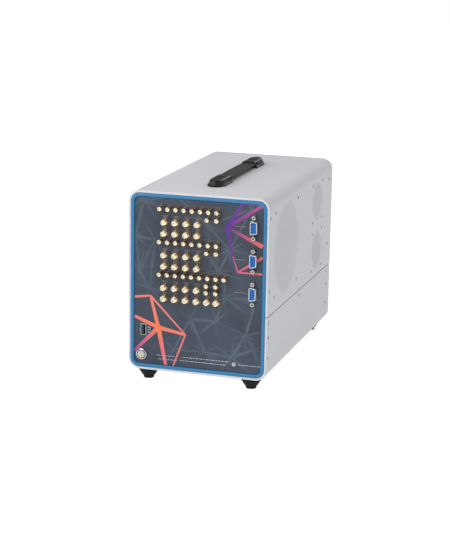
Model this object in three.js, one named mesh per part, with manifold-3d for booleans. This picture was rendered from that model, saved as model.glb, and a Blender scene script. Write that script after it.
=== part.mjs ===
// A bench-top multi-port radio-frequency network analyzer, +Z up, +Y to the back, millimetres.
// Sheet-metal covers on two frames, a printed front panel with coaxial jacks, three side fans,
// a carrying strap on top and rubber feet below.
import * as THREE from "three";
import { mergeVertices } from "three/addons/utils/BufferGeometryUtils.js";
import Module from "manifold-3d";

const wasm = await Module();
wasm.setup();

// ---- driving dimensions ------------------------------------------------------------------
// x runs to the right from the middle of the front, y to the back from the front edge of the
// covers, and z up from half the height of the covers.
const WIDTH = 178.4;
const DEPTH = 318.7;
const HEIGHT = 225.4;
const CORNER = 14; // radius of the four long edges
const SHEET = 2; // cover thickness
const GAP = 0.3; // clearance between pieces that meet
const LIP = { width: 3, depth: 1.6 }; // folded front edge of the covers
const SEAM = { height: -32.3, gap: 1 }; // where the upper cover meets the lower one
const REAR_STRIP = 13.4; // length of the rear frame that shows behind the covers
const REAR_STEP = 13; // length of the rear frame that the covers lie on
const RING = { width: 4.3, front: -0.6, back: 3.7, corner: 12 }; // coloured trim ring
const PANEL = { front: 1, thickness: 2.5, corner: 7.4 };
const FRAME = { front: 4, back: 14, openWidth: 157, openHeight: 199, corner: 6 };
const FOOT = { height: 13.3, radius: 12.6, baseRadius: 6.5, wall: 4, x: 66.5, inset: 13.5 };
const STRAP = { x: 3, front: 49.6, back: 250, width: 18.4, low: 3, high: 6 };
const CAP = { length: 46, width: 23, height: 8.5, wall: 1.6 };
const MODULE_PITCH = 40.64; // height of one radio-frequency module, eight 5.08 mm units
const JACK_REACH = 8.6; // how far the coaxial jacks stand out of the covers' front edge
const SMALL_JACK = { pitch: 10.3, firstX: -46.9, z: 92.7, radius: 2.6 };
const LARGE_JACK = { pitch: 14, firstX: -42, z: 76, radius: 3.15, baseRadius: 4.4, base: 2.4 };
const LARGE_ROW_GAP = 13.8; // between the two rows of large jacks on one module
const PAIR_X = [13.2, 25.2]; // columns of the extra jacks right of the large ones
const DSUB = { x: 70.5, z: 77, screwSpan: 25, width: 8.4, length: 16.9, reach: 5 };
const USB = { x: -69.5, z: -61.5, width: 6.6, length: 13.6 };
const BUTTON = { x: -71.5, z: -93, bezelRadius: 6.9, capRadius: 4.7, travel: 1.8 };
const LARGE_FAN = { size: 120, y: 80.6, z: 39.1, screwPitch: 105, screen: 57 };
const SMALL_FAN = { size: 60, y: 237, screwPitch: 50, screen: 26 };
const SMALL_FAN_Z = { upper: 68, lower: 3 };
const FAN_DEPTH = 25;
const MODULE = { width: 132, height: 37, front: 10, length: 150, x: -12 };
const REAR_PANEL = { recess: 3, thickness: 2 };
const SCREEN_HOLE = 1.9; // radius of the holes in the fan screens
const EXHAUST = { count: 13, pitch: 8, width: 4, low: 0, high: 78 }; // slots of the rear panel

const halfWidth = WIDTH / 2;
const halfHeight = HEIGHT / 2;
const coverBack = DEPTH - REAR_STRIP - GAP;
const insideX = halfWidth - SHEET - GAP; // half the width left inside the covers
const insideZ = halfHeight - SHEET - GAP;
const panelBack = PANEL.front + PANEL.thickness;
const boardFront = panelBack + GAP; // front face of the boards that carry the jacks

// ---- solids and how they are joined ------------------------------------------------------
function solid(geometry) {
  const plain = geometry.clone();
  plain.deleteAttribute("normal");
  plain.deleteAttribute("uv");
  const merged = mergeVertices(plain, 1e-4);
  return new wasm.Manifold(
    new wasm.Mesh({
      numProp: 3,
      vertProperties: new Float32Array(merged.attributes.position.array),
      triVerts: new Uint32Array(merged.index.array),
    }),
  );
}

function geometryOf(made) {
  const mesh = made.getMesh();
  const geometry = new THREE.BufferGeometry();
  geometry.setAttribute("position", new THREE.BufferAttribute(new Float32Array(mesh.vertProperties), 3));
  geometry.setIndex(new THREE.BufferAttribute(new Uint32Array(mesh.triVerts), 1));
  geometry.computeVertexNormals();
  return geometry;
}

const join = (...pieces) => pieces.flat().reduce((a, b) => a.add(b));
const cut = (base, ...tools) => tools.flat().reduce((a, b) => a.subtract(b), base);

function block(x0, x1, y0, y1, z0, z1) {
  const box = new THREE.BoxGeometry(x1 - x0, y1 - y0, z1 - z0);
  return solid(box.translate((x0 + x1) / 2, (y0 + y1) / 2, (z0 + z1) / 2));
}

// A shape drawn in x and z, made thick from y0 to y1.
function plate(shape, y0, y1, curveSegments = 3) {
  const body = new THREE.ExtrudeGeometry(shape, {
    depth: y1 - y0,
    bevelEnabled: false,
    curveSegments,
  });
  return solid(body.rotateX(Math.PI / 2).translate(0, y1, 0));
}

function roundedRectangle(width, height, radius, x = 0, z = 0) {
  const w = width / 2;
  const h = height / 2;
  const shape = new THREE.Shape();
  shape.moveTo(x - w + radius, z - h);
  shape.lineTo(x + w - radius, z - h);
  shape.absarc(x + w - radius, z - h + radius, radius, -Math.PI / 2, 0);
  shape.lineTo(x + w, z + h - radius);
  shape.absarc(x + w - radius, z + h - radius, radius, 0, Math.PI / 2);
  shape.lineTo(x - w + radius, z + h);
  shape.absarc(x - w + radius, z + h - radius, radius, Math.PI / 2, Math.PI);
  shape.lineTo(x - w, z - h + radius);
  shape.absarc(x - w + radius, z - h + radius, radius, Math.PI, Math.PI * 1.5);
  return shape;
}

// Round rods along each axis; sides is the number of flats.
function rodY(x, z, y0, y1, radius, sides = 8) {
  const rod = new THREE.CylinderGeometry(radius, radius, y1 - y0, sides);
  return solid(rod.translate(x, (y0 + y1) / 2, z));
}

function rodX(y, z, x0, x1, radius, sides = 32) {
  const rod = new THREE.CylinderGeometry(radius, radius, x1 - x0, sides);
  return solid(rod.rotateZ(Math.PI / 2).translate((x0 + x1) / 2, y, z));
}

// ---- materials ---------------------------------------------------------------------------
const finish = (color, roughness, metalness = 0) =>
  new THREE.MeshStandardMaterial({ color, roughness, metalness });
const palePaint = finish(0xc6c7cb, 0.5);
const bluePaint = finish(0x3c82be, 0.4);
const panelPrint = finish(0x485464, 0.45);
const gold = finish(0xd9b25a, 0.25, 1);
const tinnedSteel = finish(0xc9ccd0, 0.3, 1);
const zincSteel = finish(0xb4b7ba, 0.4, 1);
const aluminium = finish(0xb9bcc0, 0.4, 1);
const blueNylon = finish(0x2a62c4, 0.5);
const darkRubber = finish(0x2d2f33, 0.8);
const blackPlastic = finish(0x1e1f21, 0.5);
const creamPlastic = finish(0xc9cbb4, 0.4);
const circuitBoard = finish(0x1f5a3a, 0.6);

// ---- the assembly ------------------------------------------------------------------------
const instrument = new THREE.Group();
const cabinet = new THREE.Group(); // moves the sizes above onto the floor, centred front to back
cabinet.position.set(0, -DEPTH / 2, FOOT.height + halfHeight);
instrument.add(cabinet);

function add(name, made, material) {
  const mesh = new THREE.Mesh(geometryOf(made), material);
  mesh.name = name;
  cabinet.add(mesh);
}

// Covers: one tube of sheet with a folded front lip, parted at the seam.
function coverTube() {
  const outer = roundedRectangle(WIDTH, HEIGHT, CORNER);
  outer.holes.push(roundedRectangle(WIDTH - 2 * SHEET, HEIGHT - 2 * SHEET, CORNER - SHEET));
  const lip = roundedRectangle(WIDTH, HEIGHT, CORNER);
  lip.holes.push(roundedRectangle(WIDTH - 2 * LIP.width, HEIGHT - 2 * LIP.width, CORNER - LIP.width));
  return join(plate(outer, 0, coverBack), plate(lip, 0, LIP.depth));
}

const fanOpenings = [
  { name: "large", side: 1, y: LARGE_FAN.y, z: LARGE_FAN.z, radius: LARGE_FAN.screen, rings: 4 },
  { name: "upper", side: 1, y: SMALL_FAN.y, z: SMALL_FAN_Z.upper, radius: SMALL_FAN.screen, rings: 2 },
  { name: "lower", side: 1, y: SMALL_FAN.y, z: SMALL_FAN_Z.lower, radius: SMALL_FAN.screen, rings: 2 },
  { name: "intake", side: -1, y: LARGE_FAN.y, z: LARGE_FAN.z, radius: LARGE_FAN.screen, rings: 4 },
];
const openingSides = (radius) => (radius > 40 ? 32 : 24);

function covers() {
  const tube = coverTube();
  const above = block(-WIDTH, WIDTH, -5, DEPTH, SEAM.height + SEAM.gap / 2, HEIGHT);
  const below = block(-WIDTH, WIDTH, -5, DEPTH, -HEIGHT, SEAM.height - SEAM.gap / 2);
  const openings = fanOpenings.map(({ side, y, z, radius }) =>
    rodX(y, z, side > 0 ? 60 : -WIDTH, side > 0 ? WIDTH : -60, radius + GAP, openingSides(radius)),
  );
  add("upper_cover", cut(tube.intersect(above), openings), palePaint);
  add("lower_cover", tube.intersect(below), palePaint);
}

// Perforated screens, flush in the openings of the upper cover: rings of holes round a middle one.
function screen({ name, side, y, z, radius, rings }) {
  const outside = side * halfWidth;
  const inside = side * (halfWidth - SHEET);
  const [x0, x1] = [Math.min(outside, inside), Math.max(outside, inside)];
  const ringGap = (radius - 2 * SCREEN_HOLE) / rings;
  const holes = [];
  for (let ring = 0; ring <= rings; ring++) {
    const count = ring === 0 ? 1 : ring * 6;
    for (let i = 0; i < count; i++) {
      const angle = (i / count) * 2 * Math.PI;
      const holeY = y + ring * ringGap * Math.cos(angle);
      const holeZ = z + ring * ringGap * Math.sin(angle);
      holes.push(rodX(holeY, holeZ, x0 - 1, x1 + 1, SCREEN_HOLE, 6));
    }
  }
  add(`${name}_screen`, cut(rodX(y, z, x0, x1, radius, openingSides(radius)), holes), palePaint);
}

// Front and rear frames, joined by two side rails behind the seam.
function frames() {
  const front = roundedRectangle(2 * insideX, 2 * insideZ, CORNER - SHEET - GAP);
  front.holes.push(roundedRectangle(FRAME.openWidth, FRAME.openHeight, FRAME.corner));
  add("front_frame", plate(front, FRAME.front, FRAME.back), palePaint);

  const open = () => roundedRectangle(WIDTH - 16, HEIGHT - 16, CORNER - 8);
  const strip = roundedRectangle(WIDTH, HEIGHT, CORNER);
  strip.holes.push(open());
  const step = roundedRectangle(2 * insideX, 2 * insideZ, CORNER - SHEET - GAP);
  step.holes.push(open());
  const stripFront = DEPTH - REAR_STRIP;
  const rear = join(plate(strip, stripFront, DEPTH), plate(step, stripFront - REAR_STEP, stripFront));
  // The rear panel lies in a shallow seat, against the ledge that is left in front of it.
  const seat = plate(
    roundedRectangle(WIDTH - 10, HEIGHT - 10, CORNER - 5),
    DEPTH - REAR_PANEL.recess - REAR_PANEL.thickness,
    DEPTH + 1,
  );
  add("rear_frame", cut(rear, seat), palePaint);
}

const RAIL = { thickness: 3, low: -45, high: -28, flange: 12 };
function sideRails() {
  const front = FRAME.back + GAP;
  const back = DEPTH - REAR_STRIP - REAR_STEP - GAP;
  for (const [name, side] of [["left", -1], ["right", 1]]) {
    const web = [side * insideX, side * (insideX - RAIL.thickness)].sort((a, b) => a - b);
    const flange = [side * insideX, side * (insideX - RAIL.flange)].sort((a, b) => a - b);
    const rail = join(
      block(web[0], web[1], front, back, RAIL.low, RAIL.high),
      block(flange[0], flange[1], front, back, RAIL.low, RAIL.low + RAIL.thickness),
    );
    add(`side_rail_${name}`, rail, zincSteel);
  }
}

// A shelf between the rails carries the modules above and closes off the power supply below.
const SHELF = { low: RAIL.low + RAIL.thickness + GAP, thickness: 2, front: 16, back: 286 };
const shelfTop = SHELF.low + SHELF.thickness;
function shelf() {
  const edge = insideX - RAIL.thickness - 1;
  const tray = join(
    block(-edge, edge, SHELF.front, SHELF.back, SHELF.low, shelfTop),
    block(-edge, edge, SHELF.back - 2, SHELF.back, SHELF.low, shelfTop + 12),
  );
  add("chassis_shelf", tray, zincSteel);
}

// Printed front panel in a coloured ring.
const moduleRows = [0, 1, 2];
const smallJacks = (row) => {
  const z = SMALL_JACK.z - row * MODULE_PITCH;
  const places = [];
  const count = row === 2 ? 9 : 8;
  for (let i = 0; i < count; i++) places.push([SMALL_JACK.firstX + i * SMALL_JACK.pitch, z]);
  const pairHeights = row === 2 ? [z - 9.6, z - 17.9] : [z - 9.6];
  for (const pairZ of pairHeights) for (const x of PAIR_X) places.push([x, pairZ]);
  return places;
};
const largeJacks = (row) => {
  const z = LARGE_JACK.z - row * MODULE_PITCH;
  const places = [];
  for (const rowZ of [z, z - LARGE_ROW_GAP])
    for (let i = 0; i < 4; i++) places.push([LARGE_JACK.firstX + i * LARGE_JACK.pitch, rowZ]);
  if (row === 2) for (const x of PAIR_X) places.push([x, z - LARGE_ROW_GAP]);
  return places;
};
const dsubHeight = (row) => DSUB.z - row * MODULE_PITCH;

// The outline of a D-shaped connector, its long side upright, grown by margin.
function dShape(z, margin = 0) {
  const w = DSUB.width / 2 + margin;
  const h = DSUB.length / 2 + margin;
  const slope = 1.5;
  const shape = new THREE.Shape();
  shape.moveTo(DSUB.x - w, z - h);
  shape.lineTo(DSUB.x + w, z - h + slope);
  shape.lineTo(DSUB.x + w, z + h - slope);
  shape.lineTo(DSUB.x - w, z + h);
  shape.closePath();
  return shape;
}

function frontPanel() {
  const ringOuterX = WIDTH - 2 * (LIP.width + GAP);
  const ringOuterZ = HEIGHT - 2 * (LIP.width + GAP);
  const ring = roundedRectangle(ringOuterX, ringOuterZ, RING.corner);
  const ringInner = [ringOuterX - 2 * RING.width, ringOuterZ - 2 * RING.width];
  ring.holes.push(roundedRectangle(...ringInner, RING.corner - RING.width));
  add("front_trim_ring", plate(ring, RING.front, RING.back), bluePaint);

  const outline = roundedRectangle(ringInner[0] - 2 * GAP, ringInner[1] - 2 * GAP, PANEL.corner);
  const [y0, y1] = [PANEL.front - 1, panelBack + 1];
  // A six-sided hole whose flats clear the jack's barrel.
  const jackHole = (x, z, radius) => rodY(x, z, y0, y1, (radius + GAP) / Math.cos(Math.PI / 6), 6);
  const holes = [];
  for (const row of moduleRows) {
    for (const [x, z] of smallJacks(row)) holes.push(jackHole(x, z, SMALL_JACK.radius));
    for (const [x, z] of largeJacks(row)) holes.push(jackHole(x, z, LARGE_JACK.radius));
    const z = dsubHeight(row);
    holes.push(plate(dShape(z, GAP), y0, y1));
    for (const end of [-1, 1])
      holes.push(rodY(DSUB.x, z + (end * DSUB.screwSpan) / 2, y0, y1, 1.5 + GAP));
  }
  const usb = roundedRectangle(USB.width + 2 * GAP, USB.length + 2 * GAP, 0.6, USB.x, USB.z);
  holes.push(plate(usb, y0, y1, 1));
  holes.push(rodY(BUTTON.x, BUTTON.z, y0, y1, BUTTON.bezelRadius - 1, 20));
  add("front_panel", cut(plate(outline, PANEL.front, panelBack), holes), panelPrint);
}

// One bar or board behind the panel carries the jacks of a module, side by side.
function smallJackStrip(row) {
  const z = SMALL_JACK.z - row * MODULE_PITCH;
  const places = smallJacks(row);
  const [boardY0, boardY1] = [boardFront, boardFront + 2];
  const lastX = Math.max(...places.map(([x]) => x));
  const lowZ = Math.min(...places.map(([, height]) => height));
  const board = join(
    block(SMALL_JACK.firstX - 4, lastX + 4, boardY0, boardY1, z - 3.6, z + 4),
    block(PAIR_X[0] - 4, PAIR_X[1] + 4, boardY0, boardY1, lowZ - 3.6, z),
  );
  const jacks = places.map(([x, height]) => rodY(x, height, -JACK_REACH, boardY0 + 1, SMALL_JACK.radius));
  add(`small_jacks_${row + 1}`, join(board, jacks), gold);
}

function largeJackPlate(row) {
  const z = LARGE_JACK.z - row * MODULE_PITCH;
  const places = largeJacks(row);
  const [boardY0, boardY1] = [boardFront, boardFront + 2];
  const lowZ = z - LARGE_ROW_GAP;
  const lastX = Math.max(...places.map(([x]) => x));
  const board = join(
    block(LARGE_JACK.firstX - 5, 5, boardY0, boardY1, lowZ - 5, z + 5),
    block(0, lastX + 5, boardY0, boardY1, lowZ - 5, lowZ + 5),
  );
  const jacks = places.map(([x, height]) => {
    const hexFront = PANEL.front - GAP - LARGE_JACK.base;
    const hex = rodY(x, height, hexFront, PANEL.front - GAP, LARGE_JACK.baseRadius, 6);
    return join(hex, rodY(x, height, -JACK_REACH, boardY0 + 1, LARGE_JACK.radius));
  });
  add(`large_jacks_${row + 1}`, join(board, jacks), gold);
}

// Upright D-shaped connectors with a jackscrew at each end.
function dsub(row) {
  const z = dsubHeight(row);
  const flange = roundedRectangle(12.5, 30.8, 2, DSUB.x, z);
  const shell = dShape(z);
  const cavity = dShape(z, -0.6);
  const jackscrews = [-1, 1].map((end) => {
    const screwZ = z + (end * DSUB.screwSpan) / 2;
    const head = rodY(DSUB.x, screwZ, -DSUB.reach, PANEL.front - GAP, 2.75, 6);
    return join(cut(head, rodY(DSUB.x, screwZ, -DSUB.reach - 1, -1, 1.4)), rodY(DSUB.x, screwZ, -0.5, boardFront + 0.5, 1.5));
  });
  const tube = cut(plate(shell, -DSUB.reach, boardFront + 0.5, 1), plate(cavity, -DSUB.reach - 1, boardFront + 2, 1));
  const base = cut(plate(flange, boardFront, boardFront + 1, 2), plate(cavity, boardFront - 1, boardFront + 2, 1));
  add(`dsub_shell_${row + 1}`, join(tube, base, jackscrews), tinnedSteel);
  const insert = join(
    plate(dShape(z, -0.6 - GAP), -DSUB.reach + 0.5, boardFront + 1 + GAP, 1),
    block(DSUB.x - 5, DSUB.x + 5, boardFront + 1 + GAP, boardFront + 9, z - 9.5, z + 9.5),
  );
  add(`dsub_insert_${row + 1}`, insert, blueNylon);
}

function usbPort() {
  const front = PANEL.front - 0.6;
  const back = front + 14;
  const outer = roundedRectangle(USB.width, USB.length, 0.5, USB.x, USB.z);
  const inner = roundedRectangle(USB.width - 1, USB.length - 1, 0.3, USB.x, USB.z);
  add("usb_shell", cut(plate(outer, front, back, 1), plate(inner, front - 1, back - 2, 1)), tinnedSteel);
  const tongue = block(USB.x - 2.3, USB.x - 0.4, front + 1, back - 2 - GAP, USB.z - 5.6, USB.z + 5.6);
  add("usb_tongue", tongue, blueNylon);
}

// A round bezel screwed through the panel, with a spring-loaded cap that is pushed in.
function powerButton() {
  const { x, z, bezelRadius, capRadius, travel } = BUTTON;
  const bezelFront = -1.6;
  const barrelBack = 22;
  const bezel = cut(
    join(
      rodY(x, z, bezelFront, PANEL.front - GAP, bezelRadius, 20),
      rodY(x, z, bezelFront + 1, barrelBack, bezelRadius - 1 - GAP, 20),
    ),
    rodY(x, z, bezelFront - 1, barrelBack - 3, capRadius + GAP, 20),
  );
  add("button_housing", bezel, tinnedSteel);
  const cap = new THREE.LatheGeometry(
    [
      new THREE.Vector2(0, -2.9),
      new THREE.Vector2(capRadius - 1.6, -2.7),
      new THREE.Vector2(capRadius, -1.9),
      new THREE.Vector2(capRadius, barrelBack - 3 - travel - 2),
      new THREE.Vector2(0, barrelBack - 3 - travel - 2),
    ],
    20,
  );
  add("power_button", solid(cap.translate(x, 0, z)), creamPlastic);
}

// Axial fans along X: a square frame with a round duct, and a rotor of leaning blades.
function fan(name, size, y, z, screwPitch, blades) {
  const outside = insideX - 0.1;
  const inside = outside - FAN_DEPTH;
  const duct = size * 0.48;
  const hub = size * 0.17;
  const half = size / 2;
  const stator = rodX(y, z, inside, inside + 3, hub, 16);
  const spokes = [0, 1, 2].map((i) => {
    const arm = new THREE.BoxGeometry(3, 4, duct + 1);
    arm.translate(inside + 1.5, 0, (duct + 1) / 2).rotateX((i * 2 * Math.PI) / 3).translate(0, y, z);
    return solid(arm);
  });
  const corners = [-1, 1].flatMap((a) =>
    [-1, 1].map((b) =>
      rodX(y + (a * screwPitch) / 2, z + (b * screwPitch) / 2, inside - 1, outside + 1, size * 0.02, 8),
    ),
  );
  const shroud = cut(
    block(inside, outside, y - half, y + half, z - half, z + half),
    rodX(y, z, inside - 1, outside + 1, duct, 28),
    corners,
  );
  add(`${name}_fan_frame`, join(shroud, stator, spokes), blackPlastic);

  const rotorParts = [rodX(y, z, inside + 3.5, outside - 2, hub, 16)];
  const bladeLength = duct - hub - 1.5;
  for (let i = 0; i < blades; i++) {
    const blade = new THREE.BoxGeometry(1.5, FAN_DEPTH * 0.75, bladeLength + 2);
    blade.rotateZ(0.9).translate((inside + 3.5 + outside - 2) / 2, 0, hub - 2 + (bladeLength + 2) / 2);
    blade.rotateX((i / blades) * 2 * Math.PI).translate(0, y, z);
    rotorParts.push(solid(blade));
  }
  add(`${name}_fan_rotor`, join(rotorParts), blackPlastic);
}

// Carrying strap: a flat band held under two domed end caps.
function carryingStrap() {
  const top = halfHeight + GAP;
  const capShape = () => {
    const w = CAP.width / 2;
    const nose = 15;
    const shape = new THREE.Shape();
    shape.moveTo(-w, CAP.length);
    shape.lineTo(-w, nose);
    shape.absellipse(0, nose, w, nose, Math.PI, 2 * Math.PI);
    shape.lineTo(w, CAP.length);
    shape.closePath();
    return shape;
  };
  // The cap narrows in three steps towards its crown.
  const capSolid = () => {
    const layers = [
      [0, 5, 1],
      [4.9, 7.2, 0.92],
      [7.1, CAP.height - GAP, 0.78],
    ].map(([low, high, scale]) => {
      const layer = new THREE.ExtrudeGeometry(capShape(), { depth: high - low, bevelEnabled: false, curveSegments: 8 });
      layer.translate(0, -CAP.length, low).scale(scale, 0.4 + 0.6 * scale, 1).translate(0, CAP.length, 0);
      return solid(layer);
    });
    const w = STRAP.width / 2 + GAP;
    const slot = block(-w, w, CAP.wall + 12, CAP.length + 1, STRAP.low - 2 * GAP, STRAP.high + GAP);
    return cut(join(layers), slot);
  };
  const frontCap = capSolid().translate([STRAP.x, STRAP.front, top]);
  const rearCap = capSolid().rotate([0, 0, 180]).translate([STRAP.x, STRAP.back, top]);
  add("handle_cap_front", frontCap, blackPlastic);
  add("handle_cap_rear", rearCap, blackPlastic);
  const inset = CAP.wall + 12 + GAP + 4;
  const [y0, y1] = [STRAP.front + inset, STRAP.back - inset];
  const w = STRAP.width / 2;
  const band = block(STRAP.x - w, STRAP.x + w, y0, y1, top + STRAP.low - GAP, top + STRAP.high - GAP);
  add("handle_strap", band, darkRubber);
}

function feet() {
  const { height, radius, baseRadius, wall } = FOOT;
  const rows = [["front", FOOT.inset], ["rear", DEPTH - FOOT.inset]];
  for (const [end, y] of rows)
    for (const [side, x] of [["left", -FOOT.x], ["right", FOOT.x]]) {
      const profile = [
        new THREE.Vector2(0, -height),
        new THREE.Vector2(baseRadius - 0.8, -height),
        new THREE.Vector2(baseRadius, -height + 0.8),
        new THREE.Vector2(radius, -wall),
        new THREE.Vector2(radius, -GAP),
        new THREE.Vector2(0, -GAP),
      ];
      const foot = new THREE.LatheGeometry(profile, 16).rotateX(Math.PI / 2);
      add(`foot_${end}_${side}`, solid(foot.translate(x, y, -halfHeight)), darkRubber);
    }
}

// Radio-frequency modules: shielded boxes with cooling fins, one behind each block of jacks.
function rfModule(row) {
  const z = LARGE_JACK.z - 1.5 - row * MODULE_PITCH;
  const [x0, x1] = [MODULE.x - MODULE.width / 2, MODULE.x + MODULE.width / 2];
  const [y0, y1] = [MODULE.front, MODULE.front + MODULE.length];
  const grooves = [];
  const finPitch = 11;
  for (let x = x0 + 8; x < x1 - 8; x += finPitch)
    grooves.push(block(x, x + 6, y0 + 12, y1 + 1, z + MODULE.height / 2 - 8, z + MODULE.height));
  const box = block(x0, x1, y0, y1, z - MODULE.height / 2, z + MODULE.height / 2);
  add(`rf_module_${row + 1}`, cut(box, grooves), aluminium);
}

function electronics() {
  moduleRows.forEach(rfModule);
  const backplaneY = MODULE.front + MODULE.length + GAP;
  add("backplane", block(-70, 50, backplaneY, backplaneY + 2.4, shelfTop + GAP, 98), circuitBoard);

  const supply = join(
    block(-20, 76, 175, 275, -104, -50),
    block(-24, 80, 172, 278, -106, -104),
  );
  add("power_supply", supply, zincSteel);
  const heatSink = [0, 1, 2, 3, 4].map((i) => block(-60 + i * 8, -57 + i * 8, 70, 110, -98, -80));
  const board = join(block(-76, 70, 40, 160, -100, -98), block(-62, -24, 68, 112, -98.1, -94), heatSink);
  add("controller_board", board, circuitBoard);
}

// Rear panel: mains inlet and switch, network port, reference jacks, earth post and exhaust slots.
const INLET = { x: 55, z: -72, width: 27, height: 20 };
const SWITCH = { x: 21, z: -72, width: 13, height: 19, tilt: 8 };
const NETWORK = { x: -62, z: -72, width: 16, height: 13.6 };
const REFERENCE_X = [-36, -18];
const EARTH = { x: 55, z: -96 };
const rearFace = DEPTH - REAR_PANEL.recess;

function rearPanel() {
  const front = rearFace - REAR_PANEL.thickness + GAP;
  const outline = roundedRectangle(WIDTH - 10 - 2 * GAP, HEIGHT - 10 - 2 * GAP, CORNER - 5 - GAP);
  const [y0, y1] = [front - 1, rearFace + 1];
  const opening = ({ x, z, width, height }) =>
    block(x - width / 2 - GAP, x + width / 2 + GAP, y0, y1, z - height / 2 - GAP, z + height / 2 + GAP);
  const holes = [opening(INLET), opening(SWITCH), opening(NETWORK)];
  for (const x of REFERENCE_X) holes.push(rodY(x, NETWORK.z, y0, y1, 4.9 + GAP, 12));
  holes.push(rodY(EARTH.x, EARTH.z, y0, y1, 2 + GAP, 8));
  for (let i = 0; i < EXHAUST.count; i++) {
    const x = (i - (EXHAUST.count - 1) / 2) * EXHAUST.pitch;
    holes.push(block(x - EXHAUST.width / 2, x + EXHAUST.width / 2, y0, y1, EXHAUST.low, EXHAUST.high));
  }
  add("rear_panel", cut(plate(outline, front, rearFace), holes), palePaint);
}

function rearFittings() {
  const flange = (part, rim) =>
    block(
      part.x - part.width / 2 - rim,
      part.x + part.width / 2 + rim,
      rearFace + GAP,
      rearFace + 2.4,
      part.z - part.height / 2 - rim,
      part.z + part.height / 2 + rim,
    );
  const body = (part, deep) =>
    block(
      part.x - part.width / 2,
      part.x + part.width / 2,
      rearFace - deep,
      rearFace + 1,
      part.z - part.height / 2,
      part.z + part.height / 2,
    );
  const pins = [[-7, 1], [0, -3], [7, 1]].map(([dx, dz]) =>
    block(INLET.x + dx - 1, INLET.x + dx + 1, rearFace - 17, rearFace - 1, INLET.z + dz - 2, INLET.z + dz + 2),
  );
  const socket = block(INLET.x - 12, INLET.x + 12, rearFace - 16, rearFace + 5, INLET.z - 8, INLET.z + 8);
  add("power_inlet", join(cut(join(flange(INLET, 3), body(INLET, 20)), socket), pins), blackPlastic);

  const well = block(SWITCH.x - 5, SWITCH.x + 5, rearFace - 8, rearFace + 5, SWITCH.z - 8, SWITCH.z + 8);
  add("switch_bezel", cut(join(flange(SWITCH, 1.4), body(SWITCH, 16)), well), blackPlastic);
  // The rocker is a shallow roof on a round pivot, resting with its lower half pushed in.
  const roof = new THREE.Shape();
  roof.moveTo(-7.2, 0.4);
  roof.lineTo(-2, -4.4);
  roof.lineTo(2, -4.4);
  roof.lineTo(7.2, 0.4);
  roof.lineTo(7.2, 3);
  roof.lineTo(0, 1.2);
  roof.lineTo(-7.2, 3);
  roof.closePath();
  const rocker = new THREE.ExtrudeGeometry(roof, { depth: 9.2, bevelEnabled: false });
  rocker.translate(0, 0, -4.6).rotateY(Math.PI / 2).rotateX(Math.PI);
  rocker.rotateX(Math.PI / 2).rotateX(THREE.MathUtils.degToRad(-SWITCH.tilt));
  add("switch_rocker", solid(rocker.translate(SWITCH.x, rearFace, SWITCH.z)), blackPlastic);

  const portCavity = block(NETWORK.x - 6, NETWORK.x + 6, rearFace - 13, rearFace + 5, NETWORK.z - 4.4, NETWORK.z + 4.4);
  add("network_port", cut(body(NETWORK, 17), portCavity), tinnedSteel);

  const strip = block(REFERENCE_X[0] - 8, REFERENCE_X[1] + 8, rearFace - 6, rearFace - 3, NETWORK.z - 7, NETWORK.z + 7);
  const jacks = REFERENCE_X.map((x) => {
    const barrel = join(
      rodY(x, NETWORK.z, rearFace - 4, DEPTH + JACK_REACH, 4.8, 12),
      rodY(x, NETWORK.z, rearFace + GAP, rearFace + 2.5, 6.6, 6),
      rodX(DEPTH + JACK_REACH - 3.5, NETWORK.z, x - 5.6, x + 5.6, 0.9, 6),
    );
    return cut(barrel, rodY(x, NETWORK.z, DEPTH, DEPTH + JACK_REACH + 1, 4, 12));
  });
  add("reference_jacks", join(strip, jacks), tinnedSteel);

  const earth = join(
    rodY(EARTH.x, EARTH.z, rearFace - 8, DEPTH + 7, 2, 8),
    rodY(EARTH.x, EARTH.z, rearFace + GAP, rearFace + 3, 4, 6),
    rodY(EARTH.x, EARTH.z, DEPTH + 1, DEPTH + 6, 4.2, 12),
  );
  add("earth_post", earth, tinnedSteel);
}

covers();
fanOpenings.forEach(screen);
frames();
sideRails();
shelf();
frontPanel();
for (const row of moduleRows) {
  smallJackStrip(row);
  largeJackPlate(row);
  dsub(row);
}
usbPort();
powerButton();
fan("large", LARGE_FAN.size, LARGE_FAN.y, LARGE_FAN.z, LARGE_FAN.screwPitch, 7);
for (const [name, z] of Object.entries(SMALL_FAN_Z))
  fan(name, SMALL_FAN.size, SMALL_FAN.y, z, SMALL_FAN.screwPitch, 5);
carryingStrap();
feet();
electronics();
rearPanel();
rearFittings();

export default instrument;
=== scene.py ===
import math
import random

import bmesh
import bpy
from mathutils import Matrix, Vector
from mathutils.geometry import delaunay_2d_cdt


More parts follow.
